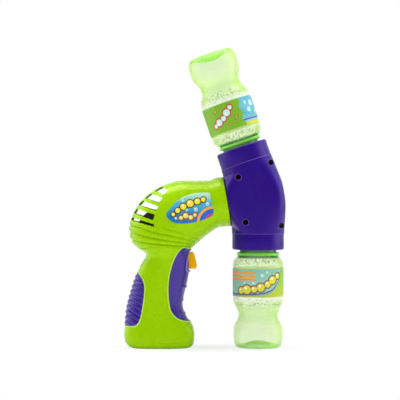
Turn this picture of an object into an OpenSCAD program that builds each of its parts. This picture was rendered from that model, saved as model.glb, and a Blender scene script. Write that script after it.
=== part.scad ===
// Battery bubble blower with a flip head and two screw-in bottles.
// X runs forward to the bubble mouth, Z up, Y to the far side. Millimetres.

/* [Overall] */
// Length from the heel of the handle to the front of the head
overall_l = 154.6; // [140:0.1:190]
// Upward tilt of the axis that the head flips about, in degrees
flip_tilt = 9.4; // [8:0.1:11]

/* [Bottles] */
// Diameter of a bottle
bottle_d = 48.2; // [42:0.1:58]
// Height of a bottle below the collar of the head
bottle_stand = 93.4; // [85:0.1:115]
// Outer diameter of the bottle neck, without its thread
neck_d = 35; // [29:0.1:42]
// Wall of a bottle
bottle_wall = 1; // [0.8:0.1:1.5]
// Depth of the screw thread
thread_depth = 1.15; // [0.9:0.05:1.3]
// Advance of the screw thread in one turn
thread_lead = 4.2; // [3.6:0.1:5]
// Thickness of the seal under the bottle lip
seal_t = 1.5; // [1:0.1:2]
// Thickness of the paper label
label_t = 0.25; // [0.15:0.05:0.4]

/* [Flip head] */
// Distance from the flip axis to the end of a collar
head_reach = 50.5; // [46:0.1:58]
// Height of the threaded collar at each end
collar_h = 15.2; // [13:0.1:18]
// How far the middle of the head swells past the collars
head_swell = 1.2; // [0:0.1:2]
// Wall of the head shells
head_wall = 2.5; // [2:0.1:3]
// Inner radius of the bubble mouth
mouth_r = 12.6; // [10:0.1:14]
// Wall of the bubble nozzle
mouth_wall = 2; // [1.6:0.1:2.6]

/* [Body] */
// Wall of the body shells
shell_wall = 2.4; // [2:0.1:3]
// Radius of the barrel where it meets the head
seam_r = 23.6; // [21:0.1:28]
// Inner radius of the swivel spigot
spigot_r = 15.5; // [13:0.1:16]
// Wall of the swivel spigot
spigot_wall = 3; // [2.5:0.1:3.4]
// Height of one air vent
vent_h = 5.2; // [3:0.1:5.5]
// Height of the swoop ribs under the vents
rib_h = 0.8; // [0.4:0.1:1.2]
// Depth that a grip insert is let into the shell
grip_depth = 1.1; // [0.8:0.1:1.4]
// How far a grip insert stands proud
grip_proud = 0.6; // [0.3:0.1:1]

/* [Trigger and fan] */
// Travel of the trigger
trigger_travel = 5; // [3:0.1:6]
// Width of the trigger
trigger_w = 11; // [8:0.1:13]
// Radius of the fan casing
casing_r = 19.5; // [17:0.1:21]
// Width of the fan casing
casing_w = 16; // [13:0.1:18]
// Radius of the motor can
motor_r = 9.5; // [8:0.1:10.5]

/* [Batteries] */
// Diameter of a cell
cell_d = 14.2; // [10.5:0.1:17.5]
// Length of a cell with its contact nub
cell_l = 50.3; // [44.5:0.1:52]

/* [Fits] */
// Running clearance between moving pieces
run_gap = 0.3; // [0.2:0.05:0.4]
// Clearance between pieces that are fixed together
fit_gap = 0.15; // [0.05:0.05:0.25]

/* [Hidden] */
$fn = 48;
big = 400;

// Head: its pivot and the seam where it meets the barrel
collar_r = bottle_d / 2 + 0.9;
pivot_x = overall_l / 2 - collar_r - head_swell * 0.9;
pivot_z = head_reach + bottle_stand;
seam_back = collar_r + 4.8;
seam_gap = 0.4;
along = [cos(flip_tilt), sin(flip_tilt)];
across = [-sin(flip_tilt), cos(flip_tilt)];
seam = [pivot_x, pivot_z] - seam_back * along;

// The body outline below is drawn for these places of the heel, seam and pivot
drawn_heel_x = -76;
drawn_seam_x = 22.9;
drawn_pivot_z = 143.9;
heel_shift = -overall_l / 2 - drawn_heel_x;
seam_shift = seam[0] - drawn_seam_x;
lift = pivot_z - drawn_pivot_z;
function limit(t) = min(1, max(0, t));
// The handle and bulb follow the heel, the barrel stretches between them and the head
function bx(x) = x + heel_shift + limit((x + 15) / 35) * (seam_shift - heel_shift);
// The handle stretches over its cells, what is above follows the pivot
function bz(z) = z + limit((z - 66) / 6) * lift;
function at(p) = [bx(p[0]), bz(p[1])];

// Body sections from the barrel round the bulb and down the handle:
// outer x, outer z, inner x, inner z, half width, squareness
body_rows = [
  [7.4, 160.7, 15, 114.8, 22.8, 2], [-8.4, 159.3, 4, 107.8, 22.4, 2],
  [-26.6, 158.7, -4, 101.6, 24.6, 2.05], [-46.2, 151.2, -9.2, 97, 26.2, 2.1],
  [-61.8, 137.3, -12, 94.4, 26.5, 2.15], [-69.8, 120, -13.9, 92.4, 26, 2.2],
  [-69.5, 104.8, -15.2, 90, 24.4, 2.3], [-63.6, 95.6, -15.7, 87.4, 21, 2.4],
  [-54.9, 88.6, -15.8, 83.8, 18.3, 2.5], [-59.6, 79.6, -15.4, 77.6, 17.4, 2.5],
  [-66, 64.2, -15.6, 64.5, 17.4, 2.5], [-72.5, 42, -19.9, 42, 17.8, 2.5],
  [-74.9, 22, -12, 22.5, 19.4, 2.7], [-76, 12, -8.5, 13, 20.4, 2.9],
  [-74.6, 5, -9, 5, 20.4, 3], [-71.2, 1.2, -11, 1.2, 19, 3], [-68.5, 0, -13.5, 0, 17.5, 3]];

function seam_row(back, r) =
  let (c = seam - back * along)
  [c[0] + r * across[0], c[1] + r * across[1], c[0] - r * across[0], c[1] - r * across[1], r, 2];
function placed(r) = [bx(r[0]), bz(r[1]), bx(r[2]), bz(r[3]), r[4], r[5]];
rows = concat([seam_row(0, seam_r), seam_row(4.5, seam_r + 0.6)], [for (r = body_rows) placed(r)]);

// Smooth curve through a list of vectors, n steps between neighbours
function curve_at(p, i, t) =
  let (m = len(p) - 1, a = p[max(0, i - 1)], b = p[i], c = p[min(m, i + 1)], d = p[min(m, i + 2)])
  b + 0.5 * t * (c - a + t * (2 * a - 5 * b + 4 * c - d + t * (3 * (b - c) + d - a)));
function curve(p, n) = concat([for (i = [0:len(p) - 2]) for (k = [0:n - 1]) curve_at(p, i, k / n)],
  [p[len(p) - 1]]);

// Rings and lofts
ring_n = 24;
function power(v, e) = sign(v) * pow(abs(v), e);
function ring(r, o) =
  let (c = [r[0] + r[2], r[1] + r[3]] / 2, v = [r[0] - r[2], r[1] - r[3]] / 2, a = norm(v),
    d = v / a * (a - o))
  [for (i = [0:ring_n - 1])
    let (p = power(cos(360 * i / ring_n), 2 / r[5]), q = power(sin(360 * i / ring_n), 2 / r[5]))
    [c[0] + d[0] * p, (r[4] - o) * q, c[1] + d[1] * p]];

module loft(rings) {
  n = len(rings[0]);
  m = len(rings);
  sides = [for (j = [0:m - 2]) for (i = [0:n - 1])
    let (a = j * n + i, b = j * n + (i + 1) % n)
    each [[b, a, b + n], [b + n, a, a + n]]];
  start = [for (i = [0:n - 1]) i];
  end = [for (i = [0:n - 1]) m * n - 1 - i];
  polyhedron([for (r = rings) each r], concat([start], sides, [end]), convexity = 6);
}

skin_rows = curve(rows, 2);
// The body's outer form, sunk by a depth
module skin(depth) {
  loft([for (r = skin_rows) ring(r, depth)]);
}

floor_t = 2.4;
// The hollow inside the shells, open at the seam
module cavity() {
  open_row = seam_row(-2, seam_r);
  intersection() {
    loft([for (r = concat([open_row], skin_rows)) ring(r, shell_wall)]);
    translate([-big / 2, -big / 2, floor_t]) cube(big);
  }
}

// Frames: the flip axis, and an arm whose Z runs out of the pivot along a bottle
module flip_frame() {
  translate([pivot_x, 0, pivot_z]) rotate([0, -flip_tilt, 0]) children();
}
module flip_axis() {
  flip_frame() rotate([0, 90, 0]) children();
}
module arm(side) {
  turn = side == "lower" ? [180, 0, 0] : [0, -2 * flip_tilt, 0];
  translate([pivot_x, 0, pivot_z]) rotate(turn) children();
}
// Z of the children runs to the far side
module to_far(p, y) {
  translate([p[0], y, p[1]]) rotate([-90, 0, 0]) children();
}
module half(side) {
  translate([-big / 2, side == "left" ? -big : 0, -big / 2]) cube(big);
}
// A prism through the whole width, from an outline in X and Z
module prism() {
  translate([0, big / 2, 0]) rotate([90, 0, 0]) linear_extrude(big) children();
}

// Tube swept along a helix, with tapered ends for a thread
module helix(profile, lead, turns, steps, taper) {
  count = ceil(turns * steps);
  rings = [for (k = [0:count])
    let (a = 360 * k / steps, fade = taper ? min(1, 0.15 + 3 * min(k, count - k) / steps) : 1,
      r0 = profile[0][0])
    [for (i = [len(profile) - 1:-1:0]) let (p = profile[i], r = r0 + (p[0] - r0) * fade)
      [r * cos(a), r * sin(a), p[1] + lead * k / steps]]];
  loft(rings);
}
module coil(r, wire_r, length, turns) {
  section = [for (i = [0:5]) [r + wire_r * cos(60 * i), wire_r + wire_r * sin(60 * i)]];
  helix(section, (length - 2 * wire_r) / turns, turns, 10, false);
}

// Screw with a pan head and a cross slot, its shank along Z and its head at the top
module screw(length, shank_r, head_r, head_t) {
  slot_w = 0.8;
  difference() {
    union() {
      translate([0, 0, -length]) cylinder(length, shank_r, shank_r);
      cylinder(head_t, head_r, head_r * 0.82);
    }
    for (a = [0, 90]) rotate(a) translate([-head_r * 0.6, -slot_w / 2, head_t * 0.5])
      cube([head_r * 1.2, slot_w, head_t]);
  }
}

// Swivel: the barrel end holds the spigot's flange, the head's collar runs between seam and lip
spigot_out = spigot_r + spigot_wall;
collar_t = 3.4;
collar_out = seam_r - 1.1;
lip_r = spigot_out + 2;
lip_t = 2.3;
flange_r = spigot_out + 1.8;
flange_t = 2.5;
u_seam = -seam_back;
u_collar = u_seam + seam_gap / 2;
u_lip = u_collar + collar_t + run_gap;
u_flange = u_seam - 10;
u_back = u_seam - 17;
plate_t = 2;
seat_len = 13;

// Fan, along Y, with an outlet duct that runs beside the flip axis to the spigot
fan = at([-43, 112.5]);
fan_y = -4;
casing_wall = 1.5;
cover_t = 1.4;
duct_half = 6.7;
duct_wall = 1.2;
duct_v = -6.5;
u_fan = (fan[0] - pivot_x) * along[0] + (fan[1] - pivot_z) * along[1];
impeller_r = casing_r - casing_wall - 2.6;
inlet_r = 9;
shaft_r = 1;
motor_y = fan_y + casing_w / 2;
motor_l = 14;
cap_l = 3;

// Handle pieces
trigger_z = bz(82.8);
trigger_x = bx(-20.4);
trigger_flange_t = 2.2;
stem_r = 2.5;
guide_x = bx(-31.5);
guide_t = 4.5;
bridge_t = 0.8;
stem_end = guide_x - guide_t - 1;
contact_t = 0.5;
switch_x = stem_end - bridge_t - trigger_travel - run_gap - contact_t;
switch_t = 4;
cross_half = 16.6 - shell_wall;

// Batteries
cell_gap = 1.6;
cell_pitch = cell_d + cell_gap;
tray_x = bx(-45);
tray_wall = 1.4;
spring_l = 4.4;
tray_half = cell_pitch / 2 + cell_d / 2 + 0.6;
tray_z = floor_t + 1.6;
bay_l = cell_l + spring_l + 0.6;
cell_y = 2;
tray_back = cell_y - cell_d / 2 - 0.4;
tray_front = cell_y + cell_d / 2;
door_half = tray_half + tray_wall;
door_low = 9;
door_high = tray_z + bay_l + 14;
door_screw = [tray_x, door_high - 5.5];
door_gap = 0.35;
door_y = tray_front - 1;

// Screw places: shells of the body, and head (along and across the flip axis)
barrel_screw = [pivot_x, pivot_z] + u_back * along + spigot_out * across - [5.1, 1.5];
body_screw_at = [barrel_screw, at([2, 113]), at([-61.8, 98]), at([-30, 150.5]), at([-53, 79]),
  at([-69.7, 9.5]), at([-14.8, 9.5])];
boss_r = 3.2;
body_screw_r = 1.2;
screw_hole = body_screw_r + fit_gap + 0.05;
body_screw_l = 11;
screw_seat_y = 6;
head_back_u = -16.5;
head_back_v = 21.5;
head_front_u = collar_r - 8.3;
head_front_v = head_reach - collar_h - 5;
head_screw_at = [for (s = [-1, 1])
  each [[head_back_u, s * head_back_v], [head_front_u, s * head_front_v]]];
head_screw_y = -5;

// Grip, label and vent outlines, in X and Z
rear_outline = curve([[-62.2, 73], [-58.4, 68], [-55.8, 60], [-55.6, 50], [-57, 39], [-59.2, 29.4],
  [-65.4, 20.6]], 4);
front_outline = curve([[-16, 96], [-22.8, 92.9], [-29, 82.5], [-33, 69], [-34.3, 55], [-34.3, 43],
  [-31, 32.5], [-25, 26.6], [-15.1, 24.8]], 4);
label_outline = curve([[-35.3, 124.6], [-29, 135], [-16.1, 144], [5, 147], [9.8, 131], [1.2, 120.6],
  [-13.2, 117.2], [-27.6, 119.6], [-35.3, 124.6]], 4);
vent_first = [-39.6, 149.4];
vent_step = [-4.55, -7.3];
vent_tilt = 19;
vent_len = [9.5, 15, 17.5, 19.5, 20];
vent_spine = 2.6;
rib_rear = [-72, 119.5];
rib_meet = [-6, 103];
rib_count = 5;
rib_pitch = 6;
rib_thick = 1.5;

module rear_patch(gap) {
  outer = [[-100, 20.4], [-100, 73.5]];
  offset(gap) polygon([for (p = concat(rear_outline, outer)) at(p)]);
}
module front_patch(gap) {
  outer = [[0, 24.8], [0, 90], [-12.5, 95]];
  offset(gap) polygon([for (p = concat(front_outline, outer)) at(p)]);
}
module door_patch(gap) {
  r = 3 + gap;
  hull() for (x = [-1, 1], z = [door_low + 3, door_high - 3])
    translate([tray_x + x * (door_half - 3), z]) circle(r, $fn = 24);
}
module vents() {
  for (i = [0:len(vent_len) - 1]) {
    c = at(vent_first + i * vent_step);
    h = i == len(vent_len) - 1 ? vent_h * 0.6 : vent_h;
    for (side = [-1, 1]) hull() for (e = [-1, 1])
      translate([c[0], side * (vent_spine + 30), c[1]]) rotate([90, vent_tilt, 0])
        translate([e * (vent_len[i] - h) / 2, 0, -30]) cylinder(60, h / 2, h / 2, $fn = 14);
  }
}
module swoop_ribs() {
  meet = at(rib_meet);
  intersection() {
    union() for (i = [0:rib_count - 1]) {
      rear = at(rib_rear - [0, i * rib_pitch]);
      front = meet - [i * 2, i * 1.8];
      hull() for (p = [rear, front]) to_far(p, -30) cylinder(60, rib_thick, rib_thick, $fn = 10);
    }
    difference() {
      skin(-rib_h);
      skin(0.5);
    }
  }
}
// Slot in the front of the handle that the trigger slides in
module trigger_slot() {
  gap = run_gap + 0.1;
  translate([trigger_x - 8, -trigger_w / 2 - gap, bz(74.7) - gap])
    cube([40, trigger_w + 2 * gap, 16.3 + 2 * gap]);
}
// Ring in the barrel end that holds the spigot by its flange
module spigot_seat() {
  flip_axis() translate([0, 0, u_seam - seam_gap / 2 - seat_len])
    cylinder(seat_len, seam_r + 6, seam_r + 6, $fn = 24);
}
module spigot_room() {
  bore = spigot_out + fit_gap;
  groove = flange_r + fit_gap;
  flip_axis() {
    translate([0, 0, u_back - 5]) cylinder(40, bore, bore, $fn = 40);
    translate([0, 0, u_flange - fit_gap]) cylinder(flange_t + 2 * fit_gap, groove, groove, $fn = 40);
  }
}
// Posts, bosses and seats inside both shells, before they are trimmed to the skin
module inner_posts() {
  for (p = body_screw_at) to_far(p, -30) cylinder(60, boss_r, boss_r, $fn = 14);
  spigot_seat();
  post_r = 2.4;
  for (a = [95, 215, 325]) {
    p = fan + (casing_r - 2.5) * [cos(a), sin(a)];
    to_far(p, -40) cylinder(40 + fan_y - casing_w / 2 - cover_t - fit_gap, post_r, post_r, $fn = 14);
  }
  for (z = [tray_z + 10, tray_z + bay_l - 8])
    to_far([tray_x, z], -30) cylinder(30 + tray_back - tray_wall - fit_gap, 4, 4, $fn = 14);
  to_far(fan, motor_y + 5) difference() {
    cylinder(30, motor_r + 2, motor_r + 2, $fn = 28);
    translate([0, 0, -1])
      cylinder(motor_l + cap_l - 4 + fit_gap, motor_r + fit_gap, motor_r + fit_gap, $fn = 28);
  }
}
// Post in the near shell for the screw of the battery door
module door_post() {
  to_far(door_screw, -30) cylinder(30 + tray_front, boss_r, boss_r, $fn = 14);
}
module screw_ways() {
  for (p = body_screw_at) {
    to_far(p, screw_seat_y) cylinder(60, 2.7, 2.7, $fn = 14);
    to_far(p, screw_seat_y - body_screw_l - 1) cylinder(60, screw_hole, screw_hole, $fn = 10);
  }
  to_far(door_screw, tray_front - 8) cylinder(60, screw_hole, screw_hole, $fn = 10);
}
module body_shell(side) {
  difference() {
    intersection() {
      union() {
        difference() {
          skin(0);
          cavity();
        }
        swoop_ribs();
        intersection() {
          union() {
            inner_posts();
            if (side == "left") door_post();
          }
          skin(0.6);
        }
      }
      union() {
        half(side);
        if (side == "left") door_post();
      }
      flip_axis() translate([0, 0, u_seam - seam_gap / 2 - big]) cylinder(big, big, big);
    }
    vents();
    spigot_room();
    trigger_slot();
    screw_ways();
    difference() {
      prism() union() {
        rear_patch(fit_gap);
        front_patch(fit_gap);
      }
      skin(grip_depth + fit_gap);
    }
    if (side == "right") intersection() {
      prism() door_patch(door_gap);
      half("right");
      translate([-big / 2, door_y, -big / 2]) cube(big);
    }
  }
}

module body_shell_left() {
  color("yellowgreen") body_shell("left");
}
module body_shell_right() {
  color("yellowgreen") body_shell("right");
}
module body_screws() {
  color("dimgray") for (p = body_screw_at) to_far(p, screw_seat_y + fit_gap)
    screw(body_screw_l, body_screw_r, 2.4, 1.6);
}

// A grip insert: a patch of the skin, clear of the trigger and of the battery door
module grip() {
  difference() {
    intersection() {
      prism() children();
      difference() {
        skin(-grip_proud);
        skin(grip_depth);
      }
    }
    trigger_slot();
    intersection() {
      prism() door_patch(door_gap + fit_gap);
      half("right");
    }
    screw_ways();
  }
}
module grip_front() {
  color("rebeccapurple") grip() front_patch(0);
}
module grip_rear() {
  ridge_pitch = 5.2;
  ridge_tilt = 28;
  color("rebeccapurple") {
    grip() rear_patch(0);
    intersection() {
      grip_ridges(ridge_pitch, ridge_tilt);
      difference() {
        skin(-grip_proud - 0.9);
        skin(0.2);
      }
      prism() rear_patch(-1.2);
      union() {
        half("left");
        prism() difference() {
          square(big, center = true);
          door_patch(door_gap + fit_gap);
        }
      }
    }
  }
}
module grip_ridges(pitch, tilt) {
  for (i = [0:8]) {
    p = at([-68, 68.5 - i * pitch]);
    hull() for (e = [-1, 1])
      to_far([p[0] + e * 12 * cos(tilt), p[1] - e * 12 * sin(tilt)], -30)
        cylinder(60, 1.3, 1.3, $fn = 10);
  }
}

// Printed label on the side of the bulb
module side_label(side) {
  intersection() {
    prism() polygon([for (p = label_outline) at(p)]);
    half(side);
    difference() {
      skin(-label_t - 0.05);
      skin(-0.05);
    }
  }
}
module side_label_left() {
  color("deepskyblue") side_label("left");
}
module side_label_right() {
  color("deepskyblue") side_label("right");
}

// Battery bay in the handle, open to the far side
module battery_tray() {
  outer = door_half;
  color("dimgray") difference() {
    translate([tray_x - outer, tray_back - tray_wall, tray_z - tray_wall])
      cube([2 * outer, tray_front - tray_back + tray_wall, bay_l + 2 * tray_wall]);
    translate([tray_x - tray_half, tray_back, tray_z]) cube([2 * tray_half, 60, bay_l]);
  }
}
module cell(up) {
  nub_l = 1.2;
  body_l = cell_l - nub_l;
  z = up ? tray_z + spring_l + 0.2 : tray_z + nub_l + 0.4;
  nub_z = up ? z + body_l : z - nub_l;
  translate([tray_x + (up ? -1 : 1) * cell_pitch / 2, cell_y, 0]) {
    translate([0, 0, z]) cylinder(body_l, cell_d / 2, cell_d / 2);
    translate([0, 0, nub_z]) cylinder(nub_l, 2.75, 2.75);
  }
}
module battery_cells() {
  color("darkorange") for (up = [true, false]) cell(up);
}
module battery_springs() {
  wire = 0.4;
  room = spring_l - 0.8;
  ends = [[-1, tray_z + 0.6], [1, tray_z + bay_l - room - 0.6]];
  color("silver") for (e = ends)
    translate([tray_x + e[0] * cell_pitch / 2, cell_y, e[1]]) coil(4, wire, room, 3.5);
}
module battery_contacts() {
  w = cell_d - 3;
  color("silver") for (side = [-1, 1], z = [tray_z + 0.05, tray_z + bay_l - contact_t + 0.15])
    translate([tray_x + side * cell_pitch / 2 - w / 2, cell_y - w / 2, z]) cube([w, w, 0.3]);
}
// Cover over the battery bay on the far side, held by one screw
module battery_door() {
  color("yellowgreen") difference() {
    union() {
      intersection() {
        prism() door_patch(0);
        translate([-big / 2, door_y + door_gap, -big / 2]) cube(big);
        difference() {
          skin(0);
          skin(shell_wall);
        }
      }
      intersection() {
        for (z = [tray_z + 8, tray_z + bay_l / 2, tray_z + bay_l - 8])
          hull() for (e = [-1, 1]) to_far([tray_x + e * tray_half, z], tray_front + run_gap)
            cylinder(30, 1, 1, $fn = 16);
        skin(0.6);
      }
      intersection() {
        to_far(door_screw, tray_front + run_gap) cylinder(30, 3, 3, $fn = 24);
        skin(0.6);
      }
    }
    to_far(door_screw, tray_front - 5) cylinder(60, screw_hole, screw_hole, $fn = 10);
    to_far(door_screw, tray_front + 3.2) cylinder(60, 2.6, 2.6, $fn = 20);
    room = door_half + run_gap;
    translate([tray_x - room, tray_back, tray_z - tray_wall - run_gap])
      cube([2 * room, tray_front - tray_back + fit_gap, bay_l + 2 * (tray_wall + run_gap)]);
  }
}
module battery_door_screw() {
  color("dimgray") to_far(door_screw, tray_front + 3.2 + fit_gap) screw(9, body_screw_r, 2.3, 1.5);
}

// Trigger with a flange that stops it in the slot and a stem through the guide
module trigger() {
  face = [[-13.7, 91], [-9.6, 90.6], [-8.2, 86], [-6.5, 78.2], [-7.7, 75.6], [-10, 74.7]];
  back = [[trigger_x - 0.5, bz(74.7)], [trigger_x - 0.5, bz(91)]];
  color("orange") {
    translate([0, trigger_w / 2, 0]) rotate([90, 0, 0]) linear_extrude(trigger_w)
      polygon(concat([for (p = face) [p[0] + trigger_x + 20.4, bz(p[1])]], back));
    translate([trigger_x - trigger_flange_t, -trigger_w / 2 - 2, trigger_z - 10.4])
      cube([trigger_flange_t, trigger_w + 4, 20.4]);
    translate([stem_end, 0, trigger_z]) rotate([0, 90, 0])
      cylinder(trigger_x - trigger_flange_t / 2 - stem_end, stem_r, stem_r);
  }
}
module contact_bridge() {
  color("goldenrod") translate([stem_end - bridge_t - 0.02, 0, trigger_z]) rotate([0, 90, 0])
    cylinder(bridge_t, 4, 4);
}
module trigger_spring() {
  room = trigger_x - trigger_flange_t - guide_x - 0.4;
  color("silver") translate([guide_x + 0.2, 0, trigger_z]) rotate([0, 90, 0]) coil(3.6, 0.4, room, 4);
}
module cross_plate(x, t, half_w) {
  translate([x, -half_w, trigger_z - 6.8]) cube([t, 2 * half_w, 13.6]);
}
module trigger_guide() {
  color("dimgray") difference() {
    cross_plate(guide_x - guide_t, guide_t, cross_half);
    translate([guide_x - guide_t - 1, 0, trigger_z]) rotate([0, 90, 0])
      cylinder(guide_t + 2, stem_r + run_gap, stem_r + run_gap);
  }
}
module switch_base() {
  color("dimgray") cross_plate(switch_x - switch_t, switch_t, cross_half - 1.9);
}
module switch_contacts() {
  color("goldenrod") for (s = [-1, 1])
    translate([switch_x + 0.05, s * 2.6 - 1.4, trigger_z - 4.5]) cube([contact_t - 0.1, 2.8, 9]);
}

// Scroll casing with its outlet duct, open to the near side where its cover goes
module duct_block(grow, u0, u1) {
  h = duct_half + grow;
  flip_frame() translate([u0, fan_y - h, duct_v - h]) cube([u1 - u0, 2 * h, 2 * h]);
}
module fan_casing() {
  y0 = fan_y - casing_w / 2;
  color("dimgray") difference() {
    union() {
      to_far(fan, y0) cylinder(casing_w, casing_r, casing_r);
      duct_block(duct_wall, u_fan - 1, u_back - fit_gap);
    }
    to_far(fan, y0 - 1)
      cylinder(casing_w - casing_wall + 1, casing_r - casing_wall, casing_r - casing_wall);
    duct_block(0, u_fan, u_back + 1);
    to_far(fan, y0 - 1) cylinder(casing_w + 2, 3.4, 3.4);
  }
}
module fan_casing_cover() {
  color("dimgray") to_far(fan, fan_y - casing_w / 2 - cover_t - 0.02) difference() {
    cylinder(cover_t, casing_r, casing_r);
    translate([0, 0, -1]) cylinder(cover_t + 2, inlet_r, inlet_r);
  }
}
module fan_impeller() {
  blades = 9;
  hub_r = 3.2;
  y0 = fan_y - casing_w / 2 + 1.2;
  width = casing_w - casing_wall - 3;
  color("white") to_far(fan, y0) difference() {
    union() {
      cylinder(width, hub_r, hub_r);
      translate([0, 0, width - 1.2]) cylinder(1.2, impeller_r, impeller_r);
      for (i = [0:blades - 1]) rotate(360 * i / blades) translate([hub_r + 4.5, -0.6, 0.4])
        rotate(20) cube([(impeller_r - hub_r - 4.5) * 0.98, 1.2, width - 0.8]);
    }
    translate([0, 0, -1]) cylinder(width + 2, shaft_r + 0.02, shaft_r + 0.02);
  }
}
module motor_can() {
  color("silver") to_far(fan, motor_y + 0.02) difference() {
    union() {
      cylinder(motor_l, motor_r, motor_r);
      translate([0, 0, -1.3]) cylinder(1.4, 3, 3);
    }
    translate([0, 0, -2]) cylinder(motor_l + 1, shaft_r + run_gap, shaft_r + run_gap);
  }
}
module motor_end_cap() {
  color("white") to_far(fan, motor_y + motor_l + 0.04) {
    cylinder(cap_l - 0.6, motor_r - 0.4, motor_r - 0.4);
    for (s = [-1, 1]) translate([s * 5 - 1, -0.25, 0]) cube([2, 0.5, cap_l - 0.2]);
  }
}
module motor_shaft() {
  y0 = fan_y - casing_w / 2 + 0.6;
  color("silver") to_far(fan, y0) cylinder(motor_y + motor_l - 2 - y0, shaft_r, shaft_r);
}

// Tube that the head turns on: back plate with the duct's hole, flange, and lip
module swivel_spigot() {
  u_end = u_lip + lip_t;
  color("white") difference() {
    flip_axis() rotate_extrude() polygon([[0, u_back], [spigot_out, u_back], [spigot_out, u_flange],
      [flange_r, u_flange], [flange_r, u_flange + flange_t], [spigot_out, u_flange + flange_t],
      [spigot_out, u_lip], [lip_r, u_lip], [lip_r, u_end - 0.8], [lip_r - 0.8, u_end],
      [spigot_r, u_end], [spigot_r, u_back + plate_t], [0, u_back + plate_t]]);
    duct_block(0, u_back - 1, u_back + plate_t + 1);
  }
}
// Bearing ring of the head
module swivel_collar() {
  color("rebeccapurple") flip_axis() translate([0, 0, u_collar]) difference() {
    cylinder(collar_t, collar_out - fit_gap, collar_out - fit_gap);
    translate([0, 0, -1]) cylinder(collar_t + 2, spigot_out + run_gap, spigot_out + run_gap);
  }
}

// Head: a bent tube that swells in the middle, with a boss towards the barrel
shell_reach = head_reach - collar_h - run_gap;
bend = 10;
function head_r(s) = collar_r + head_swell * cos(90 * limit(abs(s) / shell_reach));
function bend_u(s) = -sin(flip_tilt) * (abs(s) < bend ? s * s / (2 * bend) + bend / 2 : abs(s));
// The front of the head is flatter around the mouth
function front_square(s) = 2 + 1.8 * pow(cos(90 * limit(abs(s) / shell_reach)), 1.5);
function head_ring(s, o) =
  let (lean = flip_tilt * max(-1, min(1, s / bend)), r = head_r(s) - o)
  [for (i = [0:ring_n - 1]) let (a = 360 * i / ring_n, e = cos(a) > 0 ? 2 / front_square(s) : 1,
      x = r * power(cos(a), e))
    [bend_u(s) + x * cos(lean), r * power(sin(a), e), s * cos(flip_tilt) + x * sin(lean)]];
module head_form(depth, reach) {
  steps = 8;
  flip_frame() loft([for (k = [-steps:steps]) head_ring(reach * k / steps, depth)]);
}
boss_out = seam_r + 0.4;
skirt_u = -12;
skirt_v = shell_reach - 4;
skirt_w = 22.4;
// The bubble mouth ends just under the front of the head
mouth_out = mouth_r + mouth_wall;
mouth_front = collar_r + head_swell * 0.9 - sin(flip_tilt) * mouth_out - 0.5;
// Boss towards the barrel, which flares into the arms
module head_boss() {
  flip_axis() {
    hull() {
      translate([0, 0, u_collar]) cylinder(1, boss_out, boss_out);
      translate([0, 0, skirt_u]) scale([skirt_v / skirt_w, 1, 1]) cylinder(1, skirt_w, skirt_w);
    }
  }
}
module head_shell(side) {
  bore = mouth_out + fit_gap;
  difference() {
    intersection() {
      union() {
        difference() {
          union() {
            head_form(0, shell_reach);
            head_boss();
          }
          head_form(head_wall, shell_reach + 1);
          flip_axis() translate([0, 0, u_collar - 1]) cylinder(seam_back - 2, collar_out, collar_out);
        }
        // Rim of the mouth
        intersection() {
          head_form(0.1, shell_reach);
          flip_axis() translate([0, 0, mouth_front - 10]) cylinder(40, mouth_out + 2, mouth_out + 2);
        }
        intersection() {
          head_form(0.3, shell_reach - 0.5);
          flip_frame() for (p = head_screw_at) hull() for (e = [0, 3])
            to_far([p[0] - sign(p[0]) * e * 0.4, p[1]], -40) cylinder(80, boss_r, boss_r, $fn = 14);
        }
        // Rim that keeps the bearing ring from sliding into the head
        flip_axis() translate([0, 0, u_collar + collar_t + fit_gap]) difference() {
          cylinder(1.6, boss_out - 0.5, boss_out - 0.5);
          translate([0, 0, -1]) cylinder(4, lip_r + run_gap, lip_r + run_gap);
        }
      }
      half(side);
    }
    flip_axis() translate([0, 0, mouth_front - 12]) cylinder(60, bore, bore);
    flip_frame() for (p = head_screw_at) hull() for (e = [0, 0.2])
      to_far([p[0] + e, p[1]], -60) cylinder(60 + head_screw_y, 2.6, 2.6, $fn = 14);
    flip_frame() for (p = head_screw_at)
      to_far(p, -20) cylinder(29, screw_hole, screw_hole, $fn = 10);
  }
}
module head_shell_left() {
  color("indigo") head_shell("left");
}
module head_shell_right() {
  color("indigo") head_shell("right");
}
module head_screws() {
  color("black") flip_frame() for (p = head_screw_at)
    translate([p[0], head_screw_y - fit_gap, p[1]]) rotate([90, 0, 0]) screw(12, body_screw_r, 2.4, 1.6);
}

// Threaded collar that a bottle screws into; its Z runs out of the pivot
lip_d = head_reach - 11.1;
neck_r = neck_d / 2;
crest_r = neck_r + thread_depth;
socket_r = crest_r + 0.35;
web_hole = 9;
module socket() {
  back = head_reach - collar_h;
  tongue = 2.8;
  tongue_r = collar_r - head_wall - run_gap;
  floor_d = lip_d - seal_t;
  grip_in = 0.3;
  inner = neck_r + run_gap + 0.15;
  profile = [[socket_r + grip_in, 1], [inner, 0.5], [inner, -0.5], [socket_r + grip_in, -1]];
  rotate_extrude() polygon([[web_hole, back], [tongue_r - 2.4, back], [tongue_r - 2.4, back - tongue],
    [tongue_r, back - tongue], [tongue_r, back], [collar_r, back], [collar_r, head_reach - 0.8],
    [collar_r - 0.8, head_reach], [socket_r, head_reach], [socket_r, floor_d], [web_hole, floor_d]]);
  translate([0, 0, lip_d + 1.8 + thread_lead / 2]) helix(profile, thread_lead, 1.25, 24, true);
}
module bottle_socket_lower() {
  color("indigo") arm("lower") socket();
}
module bottle_socket_upper() {
  color("indigo") arm("upper") socket();
}
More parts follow.
